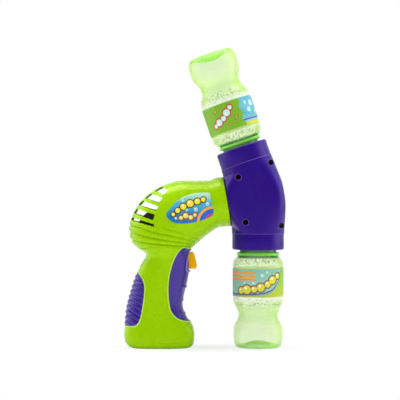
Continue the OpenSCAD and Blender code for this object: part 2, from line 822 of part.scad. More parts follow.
// Funnel in the floor of a socket that meters the drip on to the wand
module funnel() {
  top = lip_d - seal_t;
  tip = top - 14;
  rotate_extrude() polygon([[2, tip], [3.2, tip], [5.5, top - 6], [web_hole - fit_gap, top - 3.5],
    [web_hole - fit_gap, top + 0.02], [11, top + 0.02], [11, top + 1], [7.5, top + 1], [2, top - 5]]);
}
module drip_funnel_lower() {
  color("white") arm("lower") funnel();
}
module drip_funnel_upper() {
  color("white") arm("upper") funnel();
}

// Wand ring with a honeycomb of cells, held against the back of the nozzle
nozzle_back = mouth_front - 11;
wand_t = 3;
module bubble_wand() {
  r = mouth_out - 0.4;
  wall = 1.2;
  cell_r = 3.4;
  color("white") flip_axis() translate([0, 0, nozzle_back - wand_t - 0.02]) {
    difference() {
      cylinder(wand_t, r, r);
      translate([0, 0, -1]) cylinder(wand_t + 2, r - 2, r - 2);
    }
    difference() {
      cylinder(wand_t, cell_r, cell_r);
      translate([0, 0, -1]) cylinder(wand_t + 2, cell_r - wall, cell_r - wall);
    }
    for (a = [0:60:300]) rotate(a) translate([cell_r - 0.4, -wall / 2, 0.3])
      cube([r - 0.8 - cell_r, wall, wand_t - 0.6]);
  }
}
module bubble_nozzle() {
  color("indigo") flip_axis() rotate_extrude() polygon([[mouth_r, nozzle_back], [mouth_out, nozzle_back],
    [mouth_out, mouth_front - 1], [mouth_out - 1, mouth_front], [mouth_r + 1, mouth_front],
    [mouth_r, mouth_front - 1.2]]);
}

// Bottle, its seal and its label; h is the height above the bottle's foot
module seal() {
  rotate_extrude() polygon([[neck_r - 3.6, lip_d - seal_t + 0.05], [neck_r - 0.1, lip_d - seal_t + 0.05],
    [neck_r - 0.1, lip_d - 0.05], [neck_r - 3.6, lip_d - 0.05]]);
}
module seal_lower() {
  color("gray") arm("lower") seal();
}
module seal_upper() {
  color("gray") arm("upper") seal();
}
body_r = bottle_d / 2;
// Heights up to the shoulder follow the height of the bottle
hs = bottle_stand / 93.4;
waist_in = 4.7;
bead_r = neck_r + 2.5;
heel_form = curve([[body_r - 4.3, 0], [body_r - 2.9, 0.8], [body_r - 1.5, 2.7], [body_r - 0.4, 6.5],
  [body_r, 14 * hs], [body_r - 1.2, 21.5 * hs], [body_r - 3.4, 26.5 * hs], [body_r - waist_in, 32.5 * hs],
  [body_r - 3.4, 38 * hs], [body_r - 1.4, 41.5 * hs], [body_r, 46 * hs]], 3);
neck_top = pivot_z - lip_d;
bead_top = bottle_stand - 2.9;
shoulder_form = [[body_r, bead_top - 10], [body_r - 0.7, bead_top - 7], [bead_r + 0.4, bead_top - 4],
  [bead_r, bead_top - 2.5], [bead_r, bead_top], [neck_r, bead_top + 0.5], [neck_r, neck_top]];
function inside(p) = [p[0] - bottle_wall, p[1]];
module bottle() {
  in_r = neck_r - bottle_wall - 0.3;
  dome = 5;
  inner_heel = [for (p = heel_form) if (p[1] > 6) inside(p)];
  inner_base = [[0, dome + 1.2], [body_r - 11, 2.6], [body_r - 5.4, 1.6], [body_r - 2.4, 3.6]];
  inner = concat(inner_base, inner_heel,
    [inside(shoulder_form[0]), inside(shoulder_form[1]), [bead_r - 0.8, bead_top - 4],
      [in_r, bead_top - 1], [in_r, neck_top]]);
  outer = concat([[0, dome], [body_r - 11, 1.3], [body_r - 6, 0]], heel_form, shoulder_form);
  outline = concat(outer, [for (i = [len(inner) - 1:-1:0]) inner[i]]);
  profile = [[neck_r - 0.3, -1], [crest_r, -0.5], [crest_r, 0.5], [neck_r - 0.3, 1]];
  rotate_extrude() polygon([for (p = outline) [p[0], pivot_z - p[1]]]);
  translate([0, 0, lip_d + 1.8]) helix(profile, thread_lead, 1.5, 24, true);
}
module bottle_lower() {
  color("palegreen", 0.5) arm("lower") bottle();
}
module bottle_upper() {
  color("palegreen", 0.5) arm("upper") bottle();
}
module bottle_label() {
  low = 47.4 * hs;
  high = bead_top - 14.5;
  translate([0, 0, pivot_z - high]) difference() {
    cylinder(high - low, body_r + 0.05 + label_t, body_r + 0.05 + label_t);
    translate([0, 0, -1]) cylinder(high - low + 2, body_r + 0.05, body_r + 0.05);
  }
}
module bottle_label_lower() {
  color("lightyellow") arm("lower") bottle_label();
}
module bottle_label_upper() {
  color("lightyellow") arm("upper") bottle_label();
}

body_shell_left();
body_shell_right();
body_screws();
grip_front();
grip_rear();
side_label_left();
side_label_right();
battery_tray();
battery_cells();
battery_springs();
battery_contacts();
battery_door();
battery_door_screw();
trigger();
contact_bridge();
trigger_spring();
trigger_guide();
switch_base();
switch_contacts();
fan_casing();
fan_casing_cover();
fan_impeller();
motor_can();
motor_end_cap();
motor_shaft();
swivel_spigot();
swivel_collar();
head_shell_left();
head_shell_right();
head_screws();
bottle_socket_lower();
bottle_socket_upper();
drip_funnel_lower();
drip_funnel_upper();
bubble_wand();
bubble_nozzle();
seal_lower();
seal_upper();
bottle_lower();
bottle_upper();
bottle_label_lower();
bottle_label_upper();
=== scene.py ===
# Battery bubble blower with a flip head: its visible pieces, finishes, light and camera.
from math import asin, atan2, copysign, cos, exp, hypot, pi, radians, sin, sqrt, tan

import bmesh
import bpy
from mathutils import Matrix, Vector
from mathutils.bvhtree import BVHTree


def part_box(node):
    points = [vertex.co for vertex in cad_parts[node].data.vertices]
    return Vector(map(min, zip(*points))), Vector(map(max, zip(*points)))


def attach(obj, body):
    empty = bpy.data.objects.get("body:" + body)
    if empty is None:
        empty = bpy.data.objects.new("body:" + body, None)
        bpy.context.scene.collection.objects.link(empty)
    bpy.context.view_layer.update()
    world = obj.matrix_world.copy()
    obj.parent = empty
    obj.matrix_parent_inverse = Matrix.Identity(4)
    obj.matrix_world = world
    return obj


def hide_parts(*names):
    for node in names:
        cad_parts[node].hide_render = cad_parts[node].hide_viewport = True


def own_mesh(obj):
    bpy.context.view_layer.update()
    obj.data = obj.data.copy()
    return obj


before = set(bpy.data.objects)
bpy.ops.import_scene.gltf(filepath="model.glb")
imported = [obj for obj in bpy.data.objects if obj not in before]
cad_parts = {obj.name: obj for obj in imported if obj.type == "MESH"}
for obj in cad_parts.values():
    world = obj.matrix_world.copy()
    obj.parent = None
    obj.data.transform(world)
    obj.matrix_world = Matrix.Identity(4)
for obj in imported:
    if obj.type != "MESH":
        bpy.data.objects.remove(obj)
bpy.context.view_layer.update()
scene = bpy.context.scene

# Metres in a millimetre, millimetres in a metre, and the way from the near side to the far side
MM = 0.001
PER_METRE = 1000
ACROSS = Vector((0, 1, 0))

# Sizes in millimetres, in the frame of the CAD model; TILT is the flip axis's angle
TILT = radians(9.4)
PIVOT = (51.22, 143.9)
COLLAR_R = 25.0
CAP_R = 24.7
COLLAR_START = 35.1
COLLAR_END = 50.5
SEAM_BACK = 29.8
SHELL_WALL = 2.4
HEAD_WALL = 2.5
HEAD_BEND = 10.0
HEAD_REACH = 35.0
BOSS_R = 23.9
WELL_R = 2.8
MOUTH_R = 12.6
MOUTH_OUT = 14.6
MOUTH_FRONT = 23.2
NECK_R = 17.5
LIP_D = 39.4
BOTTLE_H = 104.5
THREAD_LEAD = 4.2
TRIGGER_SLOT = (40, 11, 16.3)
TRIGGER_SLOT_AT = (-9.7, 0, 82.85)
REAR_FAR_X = -64.1
FRONT_FAR_X = -28.5
DOOR = (-63.3, -29.3, 9.0, 73.3)
DOOR_Y = 8.1
DOOR_SCREW = (-46.3, 67.8)


def frame_at(place, angle, axis):
    return Matrix.Translation(place) @ Matrix.Rotation(angle, 4, axis)


pivot = (PIVOT[0], 0, PIVOT[1])
to_flip = frame_at(pivot, -TILT, "Y")
to_axis = to_flip @ Matrix.Rotation(pi / 2, 4, "Y")
arms = {"lower": frame_at(pivot, pi, "X"), "upper": frame_at(pivot, -2 * TILT, "Y")}


def clamp(v, low=0.0, high=1.0):
    return min(high, max(low, v))


def power(v, e):
    return copysign(abs(v) ** e, v)


def last_held(test, low, high, rounds):
    """Last value, found by halving, at which a test still holds."""
    for _ in range(rounds):
        middle = (low + high) / 2
        if test(middle):
            low = middle
        else:
            high = middle
    return low


def full_turn(count):
    """Cosine and sine of equal steps round a circle."""
    angles = [2 * pi * k / count for k in range(count)]
    return [(cos(a), sin(a)) for a in angles]


def along(points, t):
    """Point at t on the smooth curve through points; t counts from 0."""
    last = len(points) - 1
    i = min(max(int(t), 0), last - 1)
    f = t - i
    near = [points[min(max(k, 0), last)] for k in range(i - 1, i + 3)]
    return [q + 0.5 * f * (r - p + f * (2 * p - 5 * q + 4 * r - s + f * (3 * (q - r) + s - p)))
            for p, q, r, s in zip(*near)]


def curve(points, steps):
    return [along(points, k / steps) for k in range((len(points) - 1) * steps + 1)]


# Finishes


def operator_of(kind, swapped=False):
    """A Python operator that makes a maths node."""

    def act(self, other):
        return self.nodes.maths(kind, *((other, self) if swapped else (self, other)))

    return act


class Wire:
    """A shader value that Python sums can use."""

    def __init__(self, nodes, socket):
        self.nodes = nodes
        self.socket = socket

    __add__ = __radd__ = operator_of("ADD")
    __sub__ = operator_of("SUBTRACT")
    __rsub__ = operator_of("SUBTRACT", True)
    __mul__ = __rmul__ = operator_of("MULTIPLY")
    __truediv__ = operator_of("DIVIDE")
    __pow__ = operator_of("POWER")

    def soft(self, per_mm=5.0):
        """0 below zero, 1 above it, with a narrow ramp between."""
        return self.nodes.node("Math", {0: self, 1: per_mm, 2: 0.5},
                               operation="MULTIPLY_ADD", use_clamp=True)


class Nodes:
    """A node tree that shader values are built in."""

    def __init__(self, tree):
        self.tree = tree

    def node(self, kind, sockets=None, out=0, **settings):
        made = self.tree.nodes.new("ShaderNode" + kind)
        for key, value in settings.items():
            setattr(made, key, value)
        for key, value in (sockets or {}).items():
            if isinstance(value, Wire):
                self.tree.links.new(value.socket, made.inputs[key])
            else:
                made.inputs[key].default_value = value
        return Wire(self, made.outputs[out])

    def maths(self, kind, *values):
        return self.node("Math", dict(enumerate(values)), operation=kind)

    def parts(self, vector):
        """The three parts of a vector."""
        split = self.node("SeparateXYZ", {0: vector})
        return [Wire(self, part) for part in split.socket.node.outputs]


class Finish(Nodes):
    """One material, its principled shader and the nodes in front of it."""

    def __init__(self, name, **values):
        self.material = bpy.data.materials.new(name)
        self.material.use_nodes = True
        super().__init__(self.material.node_tree)
        self.shader = self.tree.nodes["Principled BSDF"]
        for socket, value in values.items():
            self.shader.inputs[socket.replace("_", " ")].default_value = value

    def feed(self, socket, wire):
        self.tree.links.new(wire.socket, self.shader.inputs[socket])

    def place(self):
        return self.node("TexCoord", out="Object")

    def axes(self):
        """The place on the object in millimetres."""
        return [part * PER_METRE for part in self.parts(self.place())]

    def on_uv(self, name):
        return self.parts(self.node("UVMap", uv_map=name))

    def noise(self, scale, detail):
        return self.node("TexNoise", {"Vector": self.place(), "Scale": scale, "Detail": detail})

    def ramp(self, value, stops):
        """Colour that follows a value through stops of (place, colour)."""
        wire = self.node("ValToRGB", {0: value})
        elements = wire.socket.node.color_ramp.elements
        while len(elements) < len(stops):
            elements.new(0.5)
        for element, (place, colour) in zip(elements, stops):
            element.position = place
            element.color = colour
        return wire

    def mix(self, factor, first, second):
        """Mix of two colours, which are sockets 6 and 7 and output 2 of the node."""
        return self.node("Mix", {0: factor, 6: first, 7: second}, 2, data_type="RGBA")

    def far(self, value, place):
        return self.maths("ABSOLUTE", value - place)

    def bump(self, height, strength, depth=0.0004):
        self.feed("Normal", self.node("Bump", {
            "Strength": strength, "Distance": depth, "Height": height}))


class Print(Finish):
    """Printed paper: shapes painted over its colour, at x and z in millimetres."""

    def paint(self, shape, tint):
        self.colour = self.mix(shape, self.colour, tint)

    def disc(self, cx, cz, r):
        """1 inside a circle."""
        dx, dz = self.x - cx, self.z - cz
        return (r - (dx * dx + dz * dz) ** 0.5).soft()

    def bubbles(self, spots):
        """Soap bubbles: a pale disc, a bright rim and a small highlight each."""
        for cx, cz, r in spots:
            self.paint(self.disc(cx, cz, r) * 0.7, rgb(232, 248, 250))
            self.paint(self.disc(cx, cz, r * 0.78) * 0.6, rgb(120, 200, 226))
            self.paint(self.disc(cx - r * 0.3, cz + r * 0.32, r * 0.26), rgb(255, 255, 255))

    def beads(self, spots, rim, edge, fill):
        """A run of joined round beads inside one outline."""
        for extra, tint in ((rim, edge), (0.0, fill)):
            shape = 0.0
            for cx, cz, r in spots:
                shape = self.maths("MAXIMUM", shape, self.disc(cx, cz, r + extra))
            self.paint(shape, tint)
        for cx, cz, r in spots:
            self.paint(self.disc(cx - r * 0.25, cz + r * 0.35, r * 0.3), rgb(255, 250, 214))


def rgb(r, g, b):
    """Linear colour from screen values of 0 to 255."""
    return tuple((c / 255 / 12.92) if c < 10.3 else ((c / 255 + 0.055) / 1.055) ** 2.4
                 for c in (r, g, b)) + (1.0,)


def moulded(name, colour, other, rough, grain=0.06, **more):
    """Moulded plastic: slow drift between two colours, uneven gloss and a fine grain."""
    skin = Finish(name, **more)
    skin.feed("Base Color", skin.mix(skin.noise(22, 3), rgb(*colour), rgb(*other)))
    skin.feed("Roughness", rough + 0.1 * (skin.noise(140, 4) - 0.5))
    skin.bump(skin.noise(1400, 2) + 0.6 * skin.noise(260, 2), grain, 0.0003)
    return skin


lime = moulded("lime_plastic", (148, 201, 0), (154, 205, 0), 0.27,
               Specular_IOR_Level=0.4, Specular_Tint=(1, 1, 0.15, 1))
# Lips round the grips: a lighter lime, painted highlight along their rounded edge
lime_lip_highlight = moulded("lime_lip_highlight", (200, 236, 84), (190, 230, 70), 0.3)
purple = moulded("purple_plastic", (36, 6, 121), (42, 11, 127), 0.34,
                 Specular_IOR_Level=0.34, Specular_Tint=(0.8, 0.45, 1, 1))
# Lighter purple for the beads at the collar joints and round the screw wells: painted highlight
purple_edge_highlight = moulded("purple_edge_highlight", (86, 62, 160), (78, 54, 152), 0.36)
# Lighter purple for the frame round the trigger: painted highlight
grip_frame_highlight = moulded("grip_frame_highlight", (146, 124, 204), (136, 114, 196), 0.34)
grip_purple = moulded("grip_plastic", (62, 35, 146), (54, 28, 140), 0.31, 0.1,
                      Specular_IOR_Level=0.5)
orange = moulded("orange_plastic", (238, 172, 0), (244, 180, 0), 0.3,
                 Specular_IOR_Level=0.4, Specular_Tint=(1, 0.85, 0.1, 1))
white = moulded("white_plastic", (236, 236, 230), (226, 226, 220), 0.4)
grey = moulded("grey_plastic", (62, 66, 60), (50, 54, 50), 0.42)
# Back of the label paper: pale paper, with a painted glow standing in for light that reaches it
# through the bottle
glowing_paper_back = moulded("glowing_paper_back", (240, 246, 226), (232, 242, 214), 0.6,
                     Emission_Color=rgb(240, 246, 226), Emission_Strength=0.35)
# Near black for the ring in the gap at the head: painted shade in place of the gap's shadow
painted_gap_shade = moulded("painted_gap_shade", (24, 26, 22), (16, 18, 16), 0.6)
wrap = moulded("cell_wrap", (214, 142, 40), (196, 122, 30), 0.3, Metallic=0.6)
soft_grey = moulded("soft_seal", (140, 140, 138), (120, 120, 120), 0.7, 0.15)


def metal(name, colour, rough):
    """Drawn metal with fine lines and a little uneven shine."""
    skin = Finish(name, Metallic=1.0)
    darker = tuple(0.8 * c for c in colour[:3]) + (1,)
    skin.feed("Base Color", skin.mix(skin.noise(300, 3), colour, darker))
    skin.feed("Roughness", rough + 0.15 * (skin.noise(700, 2) - 0.5))
    skin.bump(skin.noise(2200, 1), 0.05)
    return skin


steel = metal("plated_steel", rgb(196, 198, 200), 0.3)
brass = metal("brass_strip", rgb(214, 176, 92), 0.32)
bronze = metal("bronze_steel", rgb(92, 70, 48), 0.45)


def tinted_clear():
    """Thin blown bottle wall: pale green, deeper at the foot and the neck, with drops inside, and a
    painted highlight and painted shade on the neck ring.
    """
    skin = Finish("clear_green", Roughness=0.12, Specular_IOR_Level=0.6)
    _, height, _ = skin.on_uv("form")
    pale, waist, deep = rgb(194, 240, 12), rgb(186, 242, 4), rgb(138, 248, 10)
    # dark is the neck's deeper green and also painted shade at the edges of the neck ring; ring is
    # a painted highlight along the ring's middle
    dark, ring, misty = rgb(34, 140, 8), rgb(140, 240, 70), rgb(240, 244, 224)
    stops = [
        (0.0, deep, 0.27), (0.004, deep, 0.25), (0.016, pale, 0.15), (0.2, pale, 0.15),
        (0.3, waist, 0.22), (0.4, pale, 0.13), (0.432, pale, 0.13), (0.442, misty, 0.24),
        (0.468, misty, 0.24), (0.48, pale, 0.12), (0.815, pale, 0.14), (0.828, dark, 0.5),
        (0.838, dark, 0.5), (0.848, ring, 0.5), (0.866, ring, 0.5), (0.873, dark, 0.5),
        (1.0, dark, 0.5)]
    tint = skin.ramp(height, [(place, colour) for place, colour, _ in stops])
    cover = skin.ramp(height, [(place, (part, part, part, 1)) for place, _, part in stops])
    edge = skin.node("LayerWeight", {"Blend": 0.5}, "Facing")
    drops = (skin.noise(520, 3) - 0.6).soft(14)
    bands = (0.03 - skin.far(height, 0.39)).soft(50) + (0.028 - skin.far(height, 0.78)).soft(50)
    wet = drops * bands
    skin.feed("Base Color", skin.mix(wet * 0.8, tint, rgb(96, 156, 36)))
    skin.feed("Alpha", cover * (1 + 2.0 * edge * edge) + 0.42 * wet)
    skin.bump(skin.noise(70, 2) + 1.5 * wet, 0.12, 0.0008)
    return skin


clear_green = tinted_clear()


# Meshes


def sheet(columns, rows, place):
    """A grid moved to place(u, v), u and v from 0 to 1, joined where its sides meet."""
    bm = bmesh.new()
    made = bmesh.ops.create_grid(bm, x_segments=columns, y_segments=rows, size=0.5)["verts"]
    for v in made:
        v.co = place(clamp(v.co.x + 0.5), clamp(v.co.y + 0.5))
    bmesh.ops.remove_doubles(bm, verts=bm.verts, dist=1e-4)
    return bm


def patch(outline, middle, rings, height):
    """Sheet over an outline in X and Z, at Y = height(x, z, v), v from middle to rim."""
    mx, mz = middle

    def place(u, v):
        x, z = outline[round(u * len(outline)) % len(outline)]
        x, z = mx + (x - mx) * v, mz + (z - mz) * v
        return Vector((x, height(x, z, v), z))

    return sheet(len(outline), rings, place)


def lathe(profile, steps=128):
    """Closed profile of (radius, height) spun about Z."""
    bm = bmesh.new()
    verts = [bm.verts.new((r, 0, h)) for r, h in profile]
    edges = [bm.edges.new(pair) for pair in zip(verts, verts[1:] + verts[:1])]
    bmesh.ops.spin(bm, geom=verts + edges, axis=(0, 0, 1), cent=(0, 0, 0), angle=2 * pi,
                   steps=steps, use_merge=True)
    bmesh.ops.remove_doubles(bm, verts=bm.verts, dist=1e-4)
    return bm


def wind(bm, section, turns, steps, rise):
    """Spin the face of some points about Z, with a rise at each step."""
    face = section[0].link_faces[0]
    bmesh.ops.spin(bm, geom=[face] + list(face.edges) + section, axis=(0, 0, 1), cent=(0, 0, 0),
                   angle=2 * pi * turns, steps=steps, dvec=(0, 0, rise))


def bevel(bm, edges, offset, segments, **more):
    bmesh.ops.bevel(bm, geom=edges, offset=offset, offset_type="OFFSET", segments=segments,
                    profile=0.5, affect="EDGES", material=-1, **more)


def round_edges(bm, offset, segments=3, sharper=35):
    """Round all edges that are sharper than an angle in degrees."""
    least = radians(sharper)
    edges = [e for e in bm.edges if e.is_manifold and e.calc_face_angle() > least]
    bevel(bm, edges, offset, segments, clamp_overlap=True)


def prism(bm, outline, y0, y1):
    """Outline in X and Z drawn out along Y."""
    made = bmesh.ops.create_circle(bm, cap_ends=True, segments=len(outline), radius=1)["verts"]
    for v, (x, z) in zip(made, outline):
        v.co = (x, y0, z)
    grown = bmesh.ops.extrude_face_region(bm, geom=list(made[0].link_faces))["geom"]
    ends = [g for g in grown if isinstance(g, bmesh.types.BMVert)]
    bmesh.ops.translate(bm, verts=ends, vec=(0, y1 - y0, 0))


def tube_of(bm, start, direction, r, length, segments=32):
    """A plain round pin, for cutting holes."""
    turn = Vector((0, 0, 1)).rotation_difference(direction).to_matrix().to_4x4()
    bmesh.ops.create_cone(bm, cap_ends=True, segments=segments, radius1=r, radius2=r, depth=length,
                          matrix=Matrix.Translation(start + direction * length / 2) @ turn)


def linked(name, data):
    made = bpy.data.objects.new(name, data)
    scene.collection.objects.link(made)
    return made


def finished_mesh(piece):
    """Mesh of an object with its modifiers and bevels carried out."""
    view = bpy.context.evaluated_depsgraph_get()
    return bpy.data.meshes.new_from_object(piece.evaluated_get(view))


def as_object(bm, name, stand=None):
    """Object from a mesh in millimetres, set in a frame where one is given."""
    if stand:
        bmesh.ops.transform(bm, matrix=stand, verts=bm.verts)
    bmesh.ops.recalc_face_normals(bm, faces=bm.faces)
    bmesh.ops.scale(bm, vec=(MM, MM, MM), verts=bm.verts)
    mesh = bpy.data.meshes.new(name)
    bm.to_mesh(mesh)
    bm.free()
    return linked(name, mesh)


def carve(piece, cutter):
    """Cut a mesh out of a piece, for good."""
    tool = as_object(cutter, "tool")
    change = piece.modifiers.new("cut", "BOOLEAN")
    change.operation = "DIFFERENCE"
    change.solver = "EXACT"
    change.object = tool
    cut = finished_mesh(piece)
    piece.modifiers.clear()
    old = piece.data
    piece.data = cut
    bpy.data.meshes.remove(old)
    bpy.data.objects.remove(tool)


def wall(piece, depth):
    """Give an open sheet its thickness, inwards."""
    change = piece.modifiers.new("wall", "SOLIDIFY")
    change.thickness = depth * MM
    change.offset = -1


def make_bead(name, path, r):
    """A thin round bead along a closed path."""
    least_step = 0.7
    kept = [path[0]]
    for p in path[1:]:
        if (p - kept[-1]).length > least_step:
            kept.append(p)
    line = bpy.data.curves.new(name, "CURVE")
    line.dimensions = "3D"
    line.bevel_depth = r * MM
    line.bevel_resolution = 3
    run = line.splines.new("POLY")
    run.points.add(len(kept) - 1)
    for point, p in zip(run.points, kept):
        point.co = (p.x * MM, p.y * MM, p.z * MM, 1)
    run.use_cyclic_u = True
    made = linked(name, line)
    mesh = finished_mesh(made)
    bpy.data.objects.remove(made)
    return linked(name, mesh)


def fit(piece, body, slot, finish, *nodes, sharp=38):
    """Shade a piece, give it its finish, and set it on its body in place of the CAD nodes."""
    piece.data.polygons.foreach_set("use_smooth", [True] * len(piece.data.polygons))
    piece.data.set_sharp_from_angle(angle=radians(sharp))
    piece.data.materials.clear()
    piece.data.materials.append(finish.material)
    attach(piece, body)
    if nodes:
        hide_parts(*nodes)


# Body form: sections from the barrel round the bulb and down the handle, each with its outer point,
# its inner point, half width and squareness


def stretch(x):
    """Drawn place along X, moved back, a little less towards the front."""
    return x - 1.3 + 0.22 * clamp((x + 15) / 35)


def flange_row(back, up, down, w):
    """Section of the barrel's end ring, square to the flip axis."""
    c, s = cos(TILT), sin(TILT)
    x, z = PIVOT[0] - (SEAM_BACK + back) * c, PIVOT[1] - (SEAM_BACK + back) * s
    return (x - up * s, z + up * c, x + down * s, z - down * c, w, 2.0)


DRAWN = [
    (-8.4, 159.3, 4, 107.8, 22.4, 2), (-26.6, 158.7, -4, 101.6, 24.6, 2.05),
    (-46.2, 151.2, -9.2, 97, 26.2, 2.1), (-61.8, 137.3, -12, 94.4, 26.5, 2.15),
    (-69.8, 120, -13.5, 92.4, 26, 2.2), (-69.5, 104.8, -13.9, 90, 24.4, 2.3),
    (-63.6, 95.6, -13.9, 87.4, 21, 2.4), (-54.9, 88.6, -13.6, 83.8, 18.3, 2.5),
    (-59.6, 79.6, -13.2, 77.6, 17.4, 2.5), (-66, 64.2, -15.0, 64.5, 17.4, 2.5),
    (-72.5, 42, -19.9, 42, 17.8, 2.5), (-74.2, 29.6, -16.2, 29.6, 18.5, 2.6),
    (-74.9, 22, -10.9, 22, 19.4, 2.7), (-76, 12, -8.5, 13, 20.4, 2.9), (-74.6, 5, -9, 5, 20.4, 3),
    (-71.2, 1.2, -11, 1.2, 19, 3), (-68.5, 0.1, -13.5, 0.1, 17.5, 3)]
ROWS = [flange_row(0.6, 24.2, 23.4, 23.7), flange_row(4.4, 24.8, 23.0, 23.9),
        flange_row(9.6, 24.2, 22.6, 23.1), flange_row(14.2, 23.2, 23.0, 22.2)] + [
    (stretch(a), b, stretch(c), d, w, n) for a, b, c, d, w, n in DRAWN]
LAST = len(ROWS) - 1
# Sections, counted along the body, at which its parts start or end
HANDLE_START = 7
DOOR_SPAN = (10.2, LAST)
STICKER_SPAN = (0, 8.5)
FRONT_SPAN = (7.0, 16.0)


def body_at(t, angle, out=0.0):
    """Point on the body: t counts sections, angle 0 is the outer side, 90 degrees the far side."""
    ox, oz, ix, iz, w, n = along(ROWS, t)
    vx, vz = (ox - ix) / 2, (oz - iz) / 2
    size = hypot(vx, vz)
    grow = (size + out) / size * power(cos(angle), 2 / n)
    wide = (w + out) * power(sin(angle), 2 / n)
    return Vector(((ox + ix) / 2 + vx * grow, wide, (oz + iz) / 2 + vz * grow))


def skin_y(x, z, span):
    """Half width of the body at a point of its side view, within a span of sections."""

    def side(t):
        ox, oz, ix, iz = along(ROWS, t)[:4]
        return (ox - ix) * (z - iz) - (oz - iz) * (x - ix)

    first = side(span[0]) > 0
    section = last_held(lambda t: (side(t) > 0) == first, *span, 26)
    ox, oz, ix, iz, w, n = along(ROWS, section)
    dx, dz = ox - ix, oz - iz
    reach = ((x - ix) * dx + (z - iz) * dz) / (dx ** 2 + dz ** 2) * 2 - 1
    return w * max(0.0, 1 - abs(reach) ** n) ** (1 / n)


# Rolls under the vents: five lines in the side view, with a rounded roll between neighbours
ROLL_LINES = [
    [(-70.4, 121.4), (-46.4, 115.3), (-34.9, 113.3), (-26.7, 111.6), (-15.8, 108.1),
     (-5.0, 103.0)],
    [(-71.1, 116.8), (-61.3, 114.7), (-55.1, 112.6), (-44.9, 110.0), (-34.9, 108.0),
     (-18.7, 104.0), (-8.4, 101.0)],
    [(-71.1, 110.3), (-59.3, 107.8), (-51.7, 105.6), (-42.8, 104.0), (-34.9, 102.9),
     (-20.9, 100.4), (-11.3, 98.8)],
    [(-69.4, 102.6), (-63.5, 102.0), (-57.2, 100.8), (-49.7, 99.8), (-40.4, 98.8), (-25.9, 97.6),
     (-13.5, 96.9)],
    [(-65.9, 95.6), (-61.1, 94.9), (-56.9, 95.2), (-47.9, 95.9), (-30.9, 96.0), (-15.9, 95.4)]]


def line_z(line, x):
    """Height of a line of points at x, drawn on past its ends."""
    for (x0, z0), (x1, z1) in zip(line, line[1:]):
        if x <= x1 or (x1, z1) == line[-1]:
            return z0 + (z1 - z0) * (x - x0) / (x1 - x0)


def roll_height(x, z):
    """Height of the rolls over the plain body; they fade out towards the front."""
    if x > 2 or not 88 < z < 126:
        return 0.0
    levels = [line_z(line, x) for line in ROLL_LINES]
    if z > levels[0] or z < levels[-1]:
        return 0.0
    for upper, lower in zip(levels, levels[1:]):
        if z >= lower:
            f = clamp((upper - z) / max(upper - lower, 0.6))
            size = 1.3 + 0.8 * clamp((-8 - x) / 30)
            return size * ((1 - (2 * f - 1) ** 2) ** 0.5 - 0.64) * clamp((1 - x) / 4)


# Outlines in the side view
REAR_GRIP = curve([
    (-63.3, 72.4), (-59.6, 67.8), (-56.8, 61.0), (-56.7, 52.4), (-58.3, 40.1), (-59.9, 30.8),
    (-62.3, 24.2), (-66.5, 20.8)], 6) + [[-100, 20.2], [-100, 72.8]]
FRONT_GRIP = curve([
    (-14.4, 93.2), (-16.9, 95.6), (-20.4, 96.2), (-23.2, 94.2), (-26.0, 90.8), (-29.5, 84.3),
    (-32.1, 76.4), (-34.0, 68.4), (-34.9, 59.7), (-34.9, 51), (-34.2, 43.1), (-32.5, 35.8),
    (-28.8, 30.6), (-24.5, 27.4), (-19.5, 25.8), (-14.9, 24.8)], 4) + [[0, 24.8], [0, 93.2]]
STICKER = curve([
    (5.1, 146.9), (6.5, 138.3), (8.3, 129.6), (5.8, 125.3), (-5.0, 121), (-19.4, 118.7),
    (-30.1, 120.2), (-35.2, 124.6), (-35.9, 128.2), (-32.3, 133.2), (-26.6, 139.7), (-17.9, 144.7),
    (-8.6, 147.3), (2.2, 148), (5.1, 146.9)], 6)[:-1]


def depth_in(outline, x, z):
    """Distance to an outline, positive inside it."""
    inside = False
    nearest = 1e9
    x0, z0 = outline[-1]
    for x1, z1 in outline:
        if (z0 > z) != (z1 > z) and x < x0 + (x1 - x0) * (z - z0) / (z1 - z0):
            inside = not inside
        dx, dz = x1 - x0, z1 - z0
        f = clamp(((x - x0) * dx + (z - z0) * dz) / (dx * dx + dz * dz + 1e-9))
        nearest = min(nearest, (x - x0 - f * dx) ** 2 + (z - z0 - f * dz) ** 2)
        x0, z0 = x1, z1
    return sqrt(nearest) * (1 if inside else -1)


# Each grip's outline, and how far inside its limit on the far side a place along X lies
GRIPS = {
    "rear": (REAR_GRIP, lambda x: REAR_FAR_X - x),
    "front": (FRONT_GRIP, lambda x: x - FRONT_FAR_X),
}


def grip_depth(outline, far_limit, spot):
    """How far inside the rim of a grip a point of the body lies."""
    depth = depth_in(outline, spot.x, spot.z)
    return min(depth, far_limit(spot.x)) if spot.y > 0 else depth


VENTS = [
    [(-47.6, 149.6), (-41.1, 153.6), (-34.6, 150.0), (-39.3, 146.0)],
    [(-57.2, 142.6), (-51.2, 147.1), (-39.6, 142.9), (-43.2, 138.4)],
    [(-63.4, 136.2), (-59.2, 140.4), (-43.7, 134.9), (-45.8, 130.6)],
    [(-67.8, 128.4), (-64.8, 132.7), (-46.8, 127.1), (-48.7, 121.8)],
    [(-70.6, 121.8), (-68.8, 124.6), (-47.5, 117.9), (-47.9, 115.8)]]
BODY_SCREWS = [
    (-3.1, 153), (0.8, 113), (-63.1, 98), (-31.3, 150.5), (-54.3, 79), (-71, 9.5), (-16.1, 9.5)]


